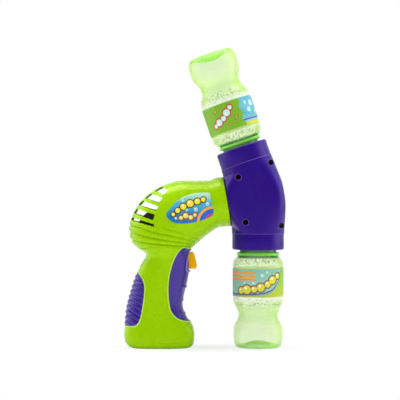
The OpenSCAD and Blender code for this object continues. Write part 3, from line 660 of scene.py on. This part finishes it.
def rounded_corners(outline, r):
    """Outline whose corners are cut round."""
    made = []
    for i, (x, z) in enumerate(outline):
        before, after = outline[i - 1], outline[(i + 1) % len(outline)]
        ends = []
        for ax, az in (before, after):
            size = hypot(ax - x, az - z)
            reach = min(r, size * 0.45) / size
            ends.append((x + (ax - x) * reach, z + (az - z) * reach))
        for k in range(5):
            f = k / 4
            made.append(tuple((1 - f) ** 2 * a + 2 * f * (1 - f) * c + f * f * b
                              for a, c, b in zip(ends[0], (x, z), ends[1])))
    return made


def filled(outline, step):
    """Closed outline with points added along its sides, about a step apart."""
    made = []
    for (ax, az), (bx, bz) in zip(outline, outline[1:] + outline[:1]):
        parts = max(1, int(hypot(bx - ax, bz - az) / step))
        made += [(ax + (bx - ax) * k / parts, az + (bz - az) * k / parts) for k in range(parts)]
    return made


def door_outline(grow):
    """Rim of the battery door, kept off the narrow edge of the handle."""
    x0, x1, z0, z1 = DOOR[0] - grow, DOOR[1] + grow, DOOR[2] - grow, DOOR[3] + grow
    corners = [(x0, z0), (x1, z0), (x1, z1), (x0, z1)]
    kept = []
    for x, z in filled(rounded_corners(corners, 4), 3):
        while skin_y(x, z, DOOR_SPAN) < DOOR_Y + 1.5:
            x += ((x0 + x1) / 2 - x) * 0.02
        kept.append((x, z))
    return kept


def trigger_opening(grow):
    """Block with round edges that cuts the trigger's slot."""
    length, width, height = TRIGGER_SLOT
    bm = bmesh.new()
    bmesh.ops.create_cube(bm, size=1)
    bmesh.ops.scale(bm, vec=(length, width + 2 * grow, height + 2 * grow), verts=bm.verts)
    bmesh.ops.translate(bm, vec=TRIGGER_SLOT_AT, verts=bm.verts)
    round_edges(bm, 1.2)
    return bm


def from_parting(k, columns):
    """Columns between column k of a tube and the plane where its halves meet."""
    half = columns // 2
    return min(k % half, half - k % half)


def make_shell():
    """Both halves of the lime body as one hollow shell, with a parting groove."""
    columns, groove_depth, groove_half = 144, 0.35, 0.3
    seat_depth, bore_r, through = 1.8, 2.7, 40
    # Steps between one section and the next, then stations of (section, height, size): up the
    # outside from the closed foot, round the barrel's end and down the inside
    counts = [4, 6, 6, 8, 14, 20, 24, 16, 26, 20, 14, 10, 10, 12, 6, 5, 6, 5, 3, 2]
    stations = [(LAST, 0.0, 0.0)]
    for i in range(len(counts) - 1, -1, -1):
        stations += [(i + k / counts[i], 0.0, 1.0) for k in range(counts[i], 0, -1)]
    stations += [(0.1, 0.0, 1.0), (0.03, -0.15, 1.0), (0.0, -0.6, 1.0), (0.0, -SHELL_WALL, 1.0)]
    stations += [(k / 4, -SHELL_WALL, 1.0) for k in range(1, 4 * (LAST - 2))]
    stations += [(LAST - 1.6, -SHELL_WALL, 1.0), (LAST - 1.6, -SHELL_WALL, 0.0)]

    def place(u, v):
        t, out, size = stations[round(v * (len(stations) - 1))]
        k = round(u * columns) % columns
        angle = 2 * pi * k / columns
        if size == 0:
            return (body_at(t, 0, out) + body_at(t, pi, out)) / 2
        if out == 0:
            spot = body_at(t, angle)
            out = roll_height(spot.x, spot.z)
            if 18 < spot.z < 98:
                inside = max(grip_depth(*grip, spot) for grip in GRIPS.values())
                out -= seat_depth * clamp((inside - 1.2) / 1.5)
            if from_parting(k, columns) == 0:
                out -= groove_depth
        spot = body_at(t, angle, out)
        if from_parting(k, columns) == 1 and out > -1:
            spot.y = copysign(groove_half, spot.y)
        return spot

    shell = as_object(sheet(columns, len(stations) - 1, place), "body_shell")
    cuts = bmesh.new()
    for slot in VENTS:
        for side in (-1, 1):
            prism(cuts, rounded_corners(slot, 0.9), side * 2.4, side * through)
    for x, z in BODY_SCREWS:
        tube_of(cuts, Vector((x, 6, z)), ACROSS, bore_r, through)
    prism(cuts, door_outline(0.35), DOOR_Y, through)
    carve(shell, cuts)
    carve(shell, trigger_opening(0.9))
    fit(shell, "body", "green", lime, "body_shell_left", "body_shell_right")


def way_round(start, sign):
    """Turning sense from the grip's middle line: -1 leads to the near side, 1 to the far side."""
    return sign if start == 0 else -sign


def grip_rims(outline, start, times, far_limit):
    """For each section, how far round the body a grip reaches on the near and the far side."""
    step, furthest = 0.04, 2.2
    rims = []
    for t in times:
        reach = []
        for sign in (-1, 1):

            def held(a):
                spot = body_at(t, start + way_round(start, sign) * a)
                return grip_depth(outline, far_limit, spot) > 0

            a = 0.0
            while a < furthest and held(a):
                a += step
            reach.append(last_held(held, max(0.0, a - step), a, 14))
        rims.append(reach)
    return rims


def make_grip(which, start, relief):
    """A grip insert laid on the body, with a rounded rim and a raised lime lip round it, the lip
    painted lighter as a highlight.
    """
    outline, far_limit = GRIPS[which]
    name = which + "_grip"
    columns, rows, lip_steps = 88, 150, 20
    rim_width, sunk, rise, lip_out = 1.3, -0.8, 1.1, 0.2

    def held(t):
        spot = body_at(t, start)
        return depth_in(outline, spot.x, spot.z) > 0

    looked = [HANDLE_START + 0.01 * k for k in range(100 * (LAST - HANDLE_START))]
    span = [t for t in looked if held(t)]
    times = [span[0] + (span[-1] - span[0]) * k / rows for k in range(rows + 1)]
    rims = grip_rims(outline, start, times, far_limit)

    def angle_at(k, u):
        near, far = rims[k]
        sign, reach, part = (-1, near, 1 - 2 * u) if u < 0.5 else (1, far, 2 * u - 1)
        return start + way_round(start, sign) * reach * part

    def place(u, v):
        k = round(v * rows)
        angle = angle_at(k, u)
        spot = body_at(times[k], angle)
        d = max(0.0, grip_depth(outline, far_limit, spot))
        edge = sqrt(max(0.0, 1 - (1 - clamp(d / rim_width)) ** 2))
        return body_at(times[k], angle, sunk + rise * edge + relief(spot, d))

    grip = as_object(sheet(columns, rows, place), name)
    wall(grip, 1.4)
    rim = [body_at(t, angle_at(k, 0.0), lip_out) for k, t in enumerate(times)]
    rim += [body_at(times[-1], angle_at(rows, u / lip_steps), lip_out) for u in range(1, lip_steps)]
    rim += [body_at(t, angle_at(k, 1.0), lip_out) for k, t in reversed(list(enumerate(times)))]
    # The lip takes the lighter lime, a painted highlight
    fit(make_bead(name + "_lip", rim, 0.62), "body", "green", lime_lip_highlight)
    fit(grip, "body", "grip", grip_purple, "grip_" + which)


def rear_ridges(spot, d):
    """Slanted round ridges of the rear grip."""
    pitch, slant = 5.5, tan(radians(27))
    f = (spot.z + (spot.x + 69) * slant - 0.8) / pitch % 1
    return (1.9 * (1 - (2 * f - 1) ** 2) ** 0.5 - 1.4) * clamp((d - 0.3) / 2.2)


def finger_rests(spot, d):
    """Narrow ridges between the fingers, on the front of the grip only."""
    front = clamp((spot.x + 28 - 0.06 * spot.z) / 6)
    ridge = sum(exp(-((spot.z - z) / 0.75) ** 2) for z in (57.9, 45.1, 33.0))
    return front * (1.1 * ridge - 0.3) * clamp(d / 2)


def front_point(y, z, out):
    """Point on the handle's front at a place seen from the front."""

    def at(t):
        w, n = along(ROWS, t)[4:]
        turn = asin(clamp(abs(y) / (w + out)) ** (n / 2))
        return body_at(t, pi - copysign(turn, y), out)

    return at(last_held(lambda t: at(t).z > z, *FRONT_SPAN, 24))


def make_trigger_frame():
    """Raised frame round the trigger's slot, painted a lighter purple as a highlight on its bead.
    """
    bead_r = 0.7
    corners = [(-11.5, 72.6), (11.5, 72.6), (11.5, 85), (5.5, 93.4), (-5.5, 93.4), (-11.5, 85)]
    path = [front_point(y, z, bead_r) for y, z in filled(rounded_corners(corners, 3), 1)]
    fit(make_bead("trigger_frame", path, bead_r), "body", "grip", grip_frame_highlight)


def make_seam_ring():
    """Near-black ring that fills the running gap between the barrel's end and the head: painted
    shade for the gap's shadow.
    """
    middle_r, lift, gap = 23.5, 0.4, 0.3
    ring = []
    for c, s in full_turn(120):
        r = middle_r - lift * c
        ring.append(to_axis @ Vector((r * c, r * s, -SEAM_BACK - gap)))
    fit(make_bead("seam_ring", ring, 0.37), "body", "inner", painted_gap_shade)


def make_door():
    """Battery cover on the far side."""
    edge_start, edge_width, edge_drop = 0.93, 0.07, 0.5
    screw_x, screw_z = DOOR_SCREW

    def height(x, z, v):
        edge = sqrt(1 - clamp((v - edge_start) / edge_width) ** 2)
        return skin_y(x, z, DOOR_SPAN) - edge_drop + edge_drop * edge

    door = as_object(patch(door_outline(0), (screw_x, 41), 14, height), "battery_cover")
    wall(door, 2.2)
    cuts = bmesh.new()
    tube_of(cuts, Vector((screw_x, 12.4, screw_z)), ACROSS, 2.6, 20)
    carve(door, cuts)
    fit(door, "battery_door", "green", lime, "battery_door")


def make_sticker(name, side, finish, node):
    """Printed label on one side of the body."""

    def height(x, z, _):
        return side * (skin_y(x, z, STICKER_SPAN) + 0.28)

    label = as_object(patch(STICKER, (-14.5, 132.5), 20, height), name)
    wall(label, 0.2)
    fit(label, "body", "label", finish, node)


def make_trigger():
    """Trigger button with its guide pin."""
    half_width = 5.5
    outline = [(-15.0, 91.2), (-10.6, 91.0), (-9.2, 86), (-7.4, 78.2), (-8.2, 75.3), (-11.0, 74.6)]
    bm = bmesh.new()
    prism(bm, rounded_corners(outline, 2.6)[2:-2] + [(-24, 74.8), (-24, 90.9)],
          -half_width, half_width)
    round_edges(bm, 1.5, 5, 60)
    tube_of(bm, Vector((-38.2, 0, 82.8)), Vector((1, 0, 0)), 2.5, 15)
    fit(as_object(bm, "trigger_button"), "trigger", "orange", orange, "trigger", sharp=30)


def make_return_spring():
    """Coil behind the trigger, which shortens with the pull."""
    low, high = [corner * PER_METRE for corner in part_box("trigger_spring")]
    length, wire, turns = high.x - low.x, 0.4, 4
    steps = 24 * turns
    start = frame_at(((high.z - low.z) / 2 - wire, 0, wire), pi / 2, "X")
    bm = bmesh.new()
    made = bmesh.ops.create_circle(bm, cap_ends=True, segments=10, radius=wire,
                                   matrix=start)["verts"]
    wind(bm, made, turns, steps, (length - 2 * wire) / steps)
    stand = frame_at((low.x, 0, (low.z + high.z) / 2), pi / 2, "Y")
    spring = as_object(bm, "return_spring", stand)
    fit(spring, "body", "steel", steel, "trigger_spring", sharp=60)
    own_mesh(spring)


# Flip head


def head_frame(s):
    """Centre and lean of the head's section at s along its bent axis."""
    arc = s * s / (2 * HEAD_BEND) + HEAD_BEND / 2 if abs(s) < HEAD_BEND else abs(s)
    return -sin(TILT) * arc, s * cos(TILT), TILT * clamp(s / HEAD_BEND, -1, 1)


def smooth_high(a, b, k):
    """The higher of two values, rounded over k where they meet."""
    h = max(k - abs(a - b), 0.0) / k
    return max(a, b) + h * h * k / 4


def boss_field(u, v, w):
    """Below zero inside the boss at the barrel, round at the seam and squarer towards the tube."""
    back, front = -SEAM_BACK + 0.2, -7
    f = clamp((u - back) / (-12 - back), 0, 1.2)
    high = BOSS_R + (12 if v > 0 else 28) * f
    wide, n = BOSS_R + 0.6 * f, 2 + 3 * f
    side = ((abs(v / high) ** n + abs(w / wide) ** n) ** (1 / n) - 1) * 24
    return smooth_high(smooth_high(back - u, side, 0.9), u - front, 1.0)


def head_radius(s, angle, depth):
    """Radius of the head's section: flatter in front, drawn out to the boss behind."""
    swell = cos(pi / 2 * clamp(abs(s) / HEAD_REACH))
    r = COLLAR_R + 1.15 * swell - depth
    c, w = cos(angle), sin(angle)
    if c > 0:
        n = 2 + 1.8 * swell ** 1.5
        return r * (abs(c) ** n + abs(w) ** n) ** (-1 / n)
    if depth:
        return r
    cu, cv, lean = head_frame(s)

    def field(d):
        return boss_field(cu + d * c * cos(lean), cv + d * c * sin(lean), d * w)

    nearest, furthest = r - 3.0, 48.0
    if field(nearest) > 0:
        return r
    return smooth_high(r, last_held(lambda d: field(d) < 0, nearest, furthest, 18), 0.6)


HEAD_SCREWS = [(-16.5, -21.5), (-16.5, 21.5), (16.7, -30.3), (16.7, 30.3)]
OUTSIDE_Y = -60


def make_head():
    """Bent tube with its boss, hollow, with the mouth and the screw wells cut in."""
    columns, groove_depth, groove_half = 176, 0.3, 0.28
    boss_bore, well_end = 20.8, -5.5
    # Stations of (place along the tube, depth): along the outside, then back along the inside
    end = HEAD_REACH - 0.2
    outer = [-HEAD_REACH + 0.5 * k for k in range(1, 140)]
    stations = [(-HEAD_REACH, 0.2), (-end, 0.0)] + [(s, 0.0) for s in outer]
    stations += [(end, 0.0), (HEAD_REACH, 0.2)]
    stations += [(HEAD_REACH - 2.5 * k, HEAD_WALL) for k in range(29)]
    stations.append(stations[0])

    def place(u, v):
        s, depth = stations[round(v * (len(stations) - 1))]
        k = round(u * columns) % columns
        angle = 2 * pi * k / columns
        r = head_radius(s, angle, depth)
        cu, cv, lean = head_frame(s)
        if depth == 0 and from_parting(k, columns) == 0:
            r -= groove_depth
        x, y = r * cos(angle), r * sin(angle)
        if depth == 0 and from_parting(k, columns) == 1:
            y = copysign(groove_half, y)
        return to_flip @ Vector((cu + x * cos(lean), y, cv + x * sin(lean)))

    head = as_object(sheet(columns, len(stations) - 1, place), "head_shell")
    cuts = bmesh.new()
    ahead = (to_axis.to_3x3() @ Vector((0, 0, 1))).normalized()
    tube_of(cuts, to_axis @ Vector((0, 0, 10)), ahead, MOUTH_OUT + 0.1, 30, 96)
    tube_of(cuts, to_axis @ Vector((0, 0, -40)), ahead, boss_bore, 26, 64)
    carve(head, cuts)
    wells = bmesh.new()
    for u, v in HEAD_SCREWS:
        spot = to_flip @ Vector((u, 0, v))
        start = Vector((spot.x, OUTSIDE_Y, spot.z))
        tube_of(wells, start, ACROSS, WELL_R, well_end - OUTSIDE_Y)
    carve(head, wells)
    fit(head, "head", "purple", purple, "head_shell_left", "head_shell_right")
    make_well_rims(head)


def make_well_rims(head):
    """A thin raised rim round each screw well, laid on the head's side, painted a lighter purple as
    a highlight.
    """
    bm = bmesh.new()
    bm.from_mesh(head.data)
    surface = BVHTree.FromBMesh(bm)
    bm.free()
    rim_r = WELL_R + 0.25
    for number, (u, v) in enumerate(HEAD_SCREWS):
        middle = to_flip @ Vector((u, 0, v))
        rim = []
        for c, s in full_turn(40):
            start = Vector((middle.x + rim_r * c, OUTSIDE_Y, middle.z + rim_r * s)) * MM
            spot = surface.ray_cast(start, ACROSS)[0]
            if spot and spot.y < -6 * MM:
                rim.append(spot * PER_METRE)
        fit(make_bead(f"well_rim_{number}", rim, 0.34), "head", "purple", purple_edge_highlight)


def make_collar(side):
    """Threaded collar of a bottle, with a thin lighter line where it meets the head, a painted
    highlight on the joint.
    """
    bore, thread_r, seat = 9, 19, 37.9
    tongue, tongue_in, tongue_end = 22.2, 22.2 - 2.4, COLLAR_START - 2.8
    profile = [(bore, COLLAR_START), (tongue_in, COLLAR_START), (tongue_in, tongue_end),
               (tongue, tongue_end), (tongue, COLLAR_START), (CAP_R, COLLAR_START),
               (CAP_R, COLLAR_END), (thread_r, COLLAR_END), (thread_r, seat), (bore, seat)]
    bm = lathe(profile)

    def on_end_rim(v):
        return abs(v.co.z - COLLAR_END) < 0.01 and hypot(v.co.x, v.co.y) > 20

    ends = [e for e in bm.edges if all(map(on_end_rim, e.verts)) and e.calc_face_angle() > 1]
    bevel(bm, ends, 1.4, 5)
    round_edges(bm, 0.3, 3, 50)
    collar = as_object(bm, f"collar_{side}", arms[side])
    fit(collar, "head", "purple", purple, f"bottle_socket_{side}")
    line_r = COLLAR_R - 0.05
    ring = [arms[side] @ Vector((line_r * c, line_r * s, COLLAR_START)) for c, s in full_turn(120)]
    fit(make_bead(f"collar_{side}_line", ring, 0.3), "head", "purple", purple_edge_highlight)


def make_nozzle():
    """Ring round the bubble mouth."""
    back = MOUTH_FRONT - 11
    bm = lathe([(MOUTH_R, back), (MOUTH_OUT, back), (MOUTH_OUT, MOUTH_FRONT),
                (MOUTH_R, MOUTH_FRONT)])
    round_edges(bm, 0.7, 4)
    fit(as_object(bm, "mouth_ring", to_axis), "head", "purple", purple, "bubble_nozzle")


# Bottles


# Outline of the bottle wall, (radius, height above its foot): up the outside, down the inside
BOTTLE_WALL = curve([
    (0.01, 5), (7, 4.4), (13.2, 1.9), (17.4, 0.3), (19.8, 0.15), (21.4, 0.9), (22.8, 2.9),
    (23.7, 6.5), (24.1, 13.4), (23.0, 20.6), (20.4, 25.6), (19.1, 30.4), (20.4, 36.2),
    (22.9, 41.2), (24.0, 45.0), (24.1, 50)], 6)
BOTTLE_WALL += curve([(24.1, 77), (24.05, 80.2), (23.5, 82.8), (21.9, 85.2), (20.6, 86.3)], 4)
BOTTLE_WALL += [
    (19.6, 86.7), (19.3, 87.2), (19.7, 87.8), (20.3, 88.4), (20.5, 89.3), (20.2, 90.3),
    (19.4, 90.9), (NECK_R, 91.1), (NECK_R, 104.3), (17.3, BOTTLE_H), (16.2, BOTTLE_H)]
BOTTLE_WALL += curve([
    (16.2, 90), (16.6, 88.3), (18.8, 86.2), (20.9, 84.4), (22.5, 82.2), (23.0, 80),
    (23.1, 76)], 3)
BOTTLE_WALL += curve([
    (23.1, 50), (23.0, 45.2), (21.9, 41.4), (19.4, 36.4), (18.1, 30.4), (19.4, 25.8),
    (22.0, 20.8), (23.1, 13.4), (22.7, 6.6), (21.9, 3.5), (20.8, 1.8), (19.6, 1.05),
    (17.6, 1.15), (13.4, 2.9), (7, 5.4), (0.01, 6)], 5)


def add_thread(bm):
    """Thread of the neck: a small ridge wound with a rise."""
    steps, turns, start = 48, 1.5, LIP_D + 1.8
    sunk, depth, foot, top = 0.2, 1.1, 0.9, 0.4
    section = [bm.verts.new((NECK_R + out, 0, start + up)) for out, up in (
        (-sunk, -foot), (depth, -top), (depth, top), (-sunk, foot))]
    bm.faces.new(section)
    wind(bm, section, turns, int(steps * turns), THREAD_LEAD / steps)


def make_bottle(side):
    """Clear bottle with its thread; its UV gives the height over the foot."""
    inside_foot, foot_r = 6.5, 20.9
    bm = lathe([(r, PIVOT[1] - h) for r, h in BOTTLE_WALL], 144)
    add_thread(bm)
    uv = bm.loops.layers.uv.new("form")
    for face in bm.faces:
        for loop in face.loops:
            spot = loop.vert.co
            height = PIVOT[1] - spot.z
            under = height < inside_foot and hypot(spot.x, spot.y) < foot_r
            loop[uv].uv = (0.5, 0 if under else height / BOTTLE_H)
    bottle = as_object(bm, f"clear_bottle_{side}", arms[side])
    fit(bottle, f"bottle_{side}", "bottle", clear_green, f"bottle_{side}", sharp=50)


def make_bottle_label(side, finish):
    """Paper band round a bottle, printed outside; its UV is in millimetres."""
    low, high, r, thick = 49.2, 75.8, 24.16, 0.24
    profile = [(r, PIVOT[1] - h) for h in (high, low)]
    profile += [(r + thick, PIVOT[1] - h) for h in (low, high)]
    bm = lathe(profile, 144)
    uv = bm.loops.layers.uv.new("wrap")
    turn = 1 if side == "upper" else -1
    for face in bm.faces:
        spot = face.calc_center_median()
        middle = turn * atan2(spot.y, spot.x)
        for loop in face.loops:
            a = turn * atan2(loop.vert.co.y, loop.vert.co.x)
            a += 2 * pi * round((middle - a) / (2 * pi))
            a = a + pi / 2 if middle < pi / 2 else a - 1.5 * pi
            loop[uv].uv = (a * r, PIVOT[1] - loop.vert.co.z - low)
    inside = [max(hypot(v.co.x, v.co.y) for v in face.verts) < r + 0.1 for face in bm.faces]
    band = as_object(bm, f"paper_band_{side}", arms[side])
    fit(band, f"bottle_{side}", "paper", finish, f"bottle_label_{side}")
    # Inner faces take the paper back, with its painted glow
    band.data.materials.append(glowing_paper_back.material)
    for face, back_side in zip(band.data.polygons, inside):
        face.material_index = int(back_side)


# Printed finishes


def sticker_print():
    """Blue paper with an arc of beads, a string of beads, a corner rainbow and bubbles."""
    skin = Print("side_print", Roughness=0.3, Coat_Weight=0.06, Specular_IOR_Level=0.3)
    skin.x, _, skin.z = skin.axes()
    top = skin.mix((skin.z - 138) / 9, rgb(74, 170, 196), rgb(190, 228, 192))
    skin.colour = skin.mix(((skin.z - 130) / 10).soft(1.0), rgb(14, 112, 178), top)
    for r, tint in ((15.5, rgb(246, 166, 34)), (13.2, rgb(20, 96, 196)), (8.6, rgb(206, 40, 132))):
        skin.paint(skin.disc(8.0, 119.5, r), tint)
    arc = [
        (-29.6, 127.4, 1.8), (-25.4, 131.0, 2.4), (-20.2, 134.6, 2.9), (-13.8, 137.6, 3.3),
        (-7.0, 139.6, 2.8), (-1.4, 141.4, 2.2)]
    skin.beads(arc, 0.9, rgb(34, 36, 30), rgb(250, 222, 52))
    string = [(-22.4, 124.2, 1.9), (-18.0, 126.2, 2.5), (-13.2, 124.6, 2.1), (-9.2, 126.8, 1.7)]
    skin.beads(string, 1.0, rgb(168, 40, 44), rgb(222, 222, 120))
    skin.bubbles([(-27.2, 123.8, 1.3), (-8.4, 132.0, 1.9), (2.6, 137.2, 1.7),
                  (-16.8, 131.6, 1.2), (-20.8, 140.6, 1.2)])
    skin.feed("Base Color", skin.colour)
    skin.bump(skin.noise(600, 2), 0.05, 0.0002)
    return skin


def paper_band(name, draw):
    """Print of a bottle label: its drawing, under a faint paper grain."""
    skin = Print(name, Roughness=0.4, Specular_IOR_Level=0.25)
    skin.x, skin.z, _ = skin.on_uv("wrap")
    draw(skin, skin.x, skin.z)
    grain = skin.noise(500, 3)
    skin.feed("Base Color", skin.mix(grain * 0.05, skin.colour, rgb(255, 255, 250)))
    skin.bump(grain, 0.05, 0.0002)
    return skin


def lower_band(skin, x, z):
    """Teal paper with a swoop, a lime corner, orange waves and a chain of beads."""
    skin.colour = skin.mix(z / 28, rgb(132, 192, 172), rgb(96, 174, 146))
    skin.paint((0.6 * skin.noise(60, 2) + 0.1) * 0.5, rgb(196, 222, 220))
    swoop = z - 2.2 - 24 * skin.maths("EXPONENT", (25 - x) * -0.14)
    skin.paint((1.1 - swoop).soft(), rgb(72, 62, 118))
    skin.paint((0.0 - swoop).soft(), rgb(104, 150, 206))
    lime_field = skin.mix(z / 16, rgb(180, 194, 4), rgb(134, 190, 14))
    skin.paint((-1.2 - swoop).soft(), lime_field)
    wave = 0.5 * skin.maths("SINE", x * 0.42)
    for level in (23.2, 20.0, 16.8):
        line = (1.0 - skin.far(z - wave, level)).soft() * (-3.4 - x).soft(1.4)
        skin.paint(line, rgb(236, 148, 30))
    chain = [
        (-18.6, 6.2, 3.2), (-12.2, 7.2, 4.2), (-5.0, 7.6, 2.9), (1.4, 9.4, 3.8), (8.0, 12.2, 3.0),
        (13.2, 16.2, 3.8), (19.4, 19.8, 2.8), (-62, 16, 4.2), (-54, 17, 3.2), (-47, 15.6, 3.8),
        (58, 16.4, 3.6)]
    skin.beads(chain, 1.1, rgb(112, 52, 74), rgb(214, 208, 40))
    skin.bubbles([(-5.6, 13.4, 1.1), (2.8, 20.6, 1.6), (7.6, 23.4, 1.0), (-14.4, 13.2, 0.9),
                  (48, 20, 2.4), (66, 12, 2.2), (-70, 20, 2.4)])


def upper_band(skin, x, z):
    """Lime paper with a string of bubbles, small dots and a blue panel with a rippled edge."""
    skin.colour = skin.mix(skin.noise(40, 2), rgb(112, 174, 0), rgb(128, 184, 4))
    ripple = skin.maths("SINE", z * 0.55)
    panel = (x - 10.5 - 1.4 * ripple).soft() * (52 - x).soft()
    skin.paint(panel, skin.mix(skin.noise(120, 2), rgb(20, 144, 182), rgb(120, 198, 204)))
    for level, tint in ((20.8, rgb(96, 70, 150)), (22.2, rgb(110, 196, 216)),
                        (23.8, rgb(206, 204, 36))):
        skin.paint(panel * (z - level).soft(), tint)
    string = [
        (-18.4, 18.8, 2.1), (-13.6, 16.6, 3.2), (-8.2, 14.2, 2.5), (-3.8, 10.0, 3.3),
        (0.6, 6.0, 2.1)]
    skin.beads(string, 1.2, rgb(186, 36, 22), rgb(206, 230, 232))
    dots = [
        (-3.4, 21.4, 1.1), (1.4, 19.6, 1.0), (4.2, 16.0, 1.2), (-13.8, 5.6, 1.1),
        (-17.4, 9.0, 1.0)]
    skin.beads(dots, 0.4, rgb(92, 96, 24), rgb(206, 148, 40))
    skin.bubbles([(20, 13, 2.4), (25.4, 7, 3.0), (17.4, 5.4, 1.5), (30, 15.4, 1.7),
                  (-44, 14, 3.4), (-60, 16, 2.6), (64, 14, 3.0), (42, 17, 2.4)])


make_shell()
make_grip("rear", 0.0, rear_ridges)
make_grip("front", pi, finger_rests)
make_trigger_frame()
make_seam_ring()
make_door()
side_print = sticker_print()
make_sticker("side_sticker_near", -1, side_print, "side_label_left")
make_sticker("side_sticker_far", 1, side_print, "side_label_right")
make_trigger()
make_return_spring()
make_head()
make_nozzle()
for arm_side, draw_band in (("lower", lower_band), ("upper", upper_band)):
    make_collar(arm_side)
    make_bottle(arm_side)
    make_bottle_label(arm_side, paper_band(f"{arm_side}_band_print", draw_band))
carve(bpy.data.objects["front_grip"], trigger_opening(0.7))

# CAD pieces that stay, with a finish for each
kept = {
    steel: ["body_screws", "battery_door_screw", "battery_springs", "battery_contacts",
            "motor_can", "motor_shaft"],
    brass: ["contact_bridge", "switch_contacts"],
    bronze: ["head_screws"],
    grey: ["battery_tray", "trigger_guide", "switch_base", "fan_casing", "fan_casing_cover"],
    white: ["fan_impeller", "motor_end_cap", "swivel_spigot", "drip_funnel_lower",
            "drip_funnel_upper", "bubble_wand"],
    purple: ["swivel_collar"],
    wrap: ["battery_cells"],
    soft_grey: ["seal_lower", "seal_upper"],
}
for finish, names in kept.items():
    for name in names:
        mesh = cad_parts[name].data
        mesh.materials.clear()
        mesh.materials.append(finish.material)

# Floor, light and camera
FLOOR_HALF = 6000
SHADOW_REACH = 420
SKY_LIGHT = 0.26
LIGHT_AIM = Vector((0, 0, 0.14))
SENSOR = 36
CAMERA_BACK = 1150
VIEW_WIDTH = 384


def stage_white():
    """White to the camera, with a shadow close to the object; plain white paint to the rest."""
    skin = Finish("stage_floor", Roughness=0.9, Base_Color=(0.86, 0.86, 0.86, 1))
    x, y, _ = skin.axes()
    reach = (((x * x + y * y * 1.5) ** 0.5) / SHADOW_REACH).soft(1.0)
    clear = skin.node("Emission", {"Color": (1, 1, 1, 1), "Strength": 1.0})
    paint = Wire(skin, skin.shader.outputs[0])
    seen = skin.node("MixShader", {0: 0.42 + 0.58 * reach, 1: paint, 2: clear})
    shows = skin.maths("MAXIMUM", skin.node("LightPath", out="Is Camera Ray"),
                       skin.node("LightPath", out="Is Transmission Ray"))
    both = skin.node("MixShader", {0: shows, 1: paint, 2: seen})
    skin.tree.links.new(both.socket, skin.tree.nodes["Material Output"].inputs["Surface"])
    return skin


bm = bmesh.new()
bmesh.ops.create_grid(bm, x_segments=1, y_segments=1, size=FLOOR_HALF)
floor = as_object(bm, "floor")
floor.data.materials.append(stage_white().material)

# White sky: dim as a light, brighter where it is mirrored, full where it is seen
world = bpy.data.worlds.new("studio")
scene.world = world
world.use_nodes = True
sky = Nodes(world.node_tree)
back = sky.tree.nodes["Background"]
back.inputs["Color"].default_value = (1, 1, 1, 1)
_, behind, _ = sky.parts(sky.node("TexCoord", out="Generated"))
mirrored = sky.node("MapRange", {
    "Value": behind, "From Min": -0.2, "From Max": 0.7, "To Min": 0.08, "To Max": 0.9})
level = SKY_LIGHT
for ray, strength in (("Is Glossy Ray", mirrored), ("Is Transmission Ray", 1.0),
                      ("Is Camera Ray", 1.0)):
    level = sky.node("Mix", {0: sky.node("LightPath", out=ray), 2: level, 3: strength})
sky.tree.links.new(level.socket, back.inputs["Strength"])


def softbox(name, place, size, watts, shines=True):
    """Lamp with a rectangular front, aimed at the object."""
    lamp = bpy.data.lights.new(name, "AREA")
    lamp.shape = "RECTANGLE"
    lamp.size, lamp.size_y = size
    lamp.energy = watts
    made = linked(name, lamp)
    made.location = place
    made.visible_glossy = shines
    made.rotation_euler = (LIGHT_AIM - Vector(place)).to_track_quat("-Z", "Y").to_euler()


softbox("left_box", (-1.0, 0.15, 0.4), (0.7, 1.0), 4.8)
softbox("right_box", (1.0, 0.0, 0.35), (0.7, 1.0), 5)
softbox("top_box", (0, 0.05, 1.0), (1.2, 0.4), 11.5)
softbox("front_box", (0.1, -1.3, 0.6), (1.0, 0.7), 6.1, False)

lens = bpy.data.cameras.new("camera")
lens.sensor_width = SENSOR
lens.lens = SENSOR * CAMERA_BACK / VIEW_WIDTH
lens.clip_end = 20
camera = linked("camera", lens)
camera.location = (-0.0045, -CAMERA_BACK / PER_METRE, 0.1409)
camera.rotation_euler = (pi / 2, 0, 0)
scene.camera = camera
scene.view_settings.view_transform = "Standard"
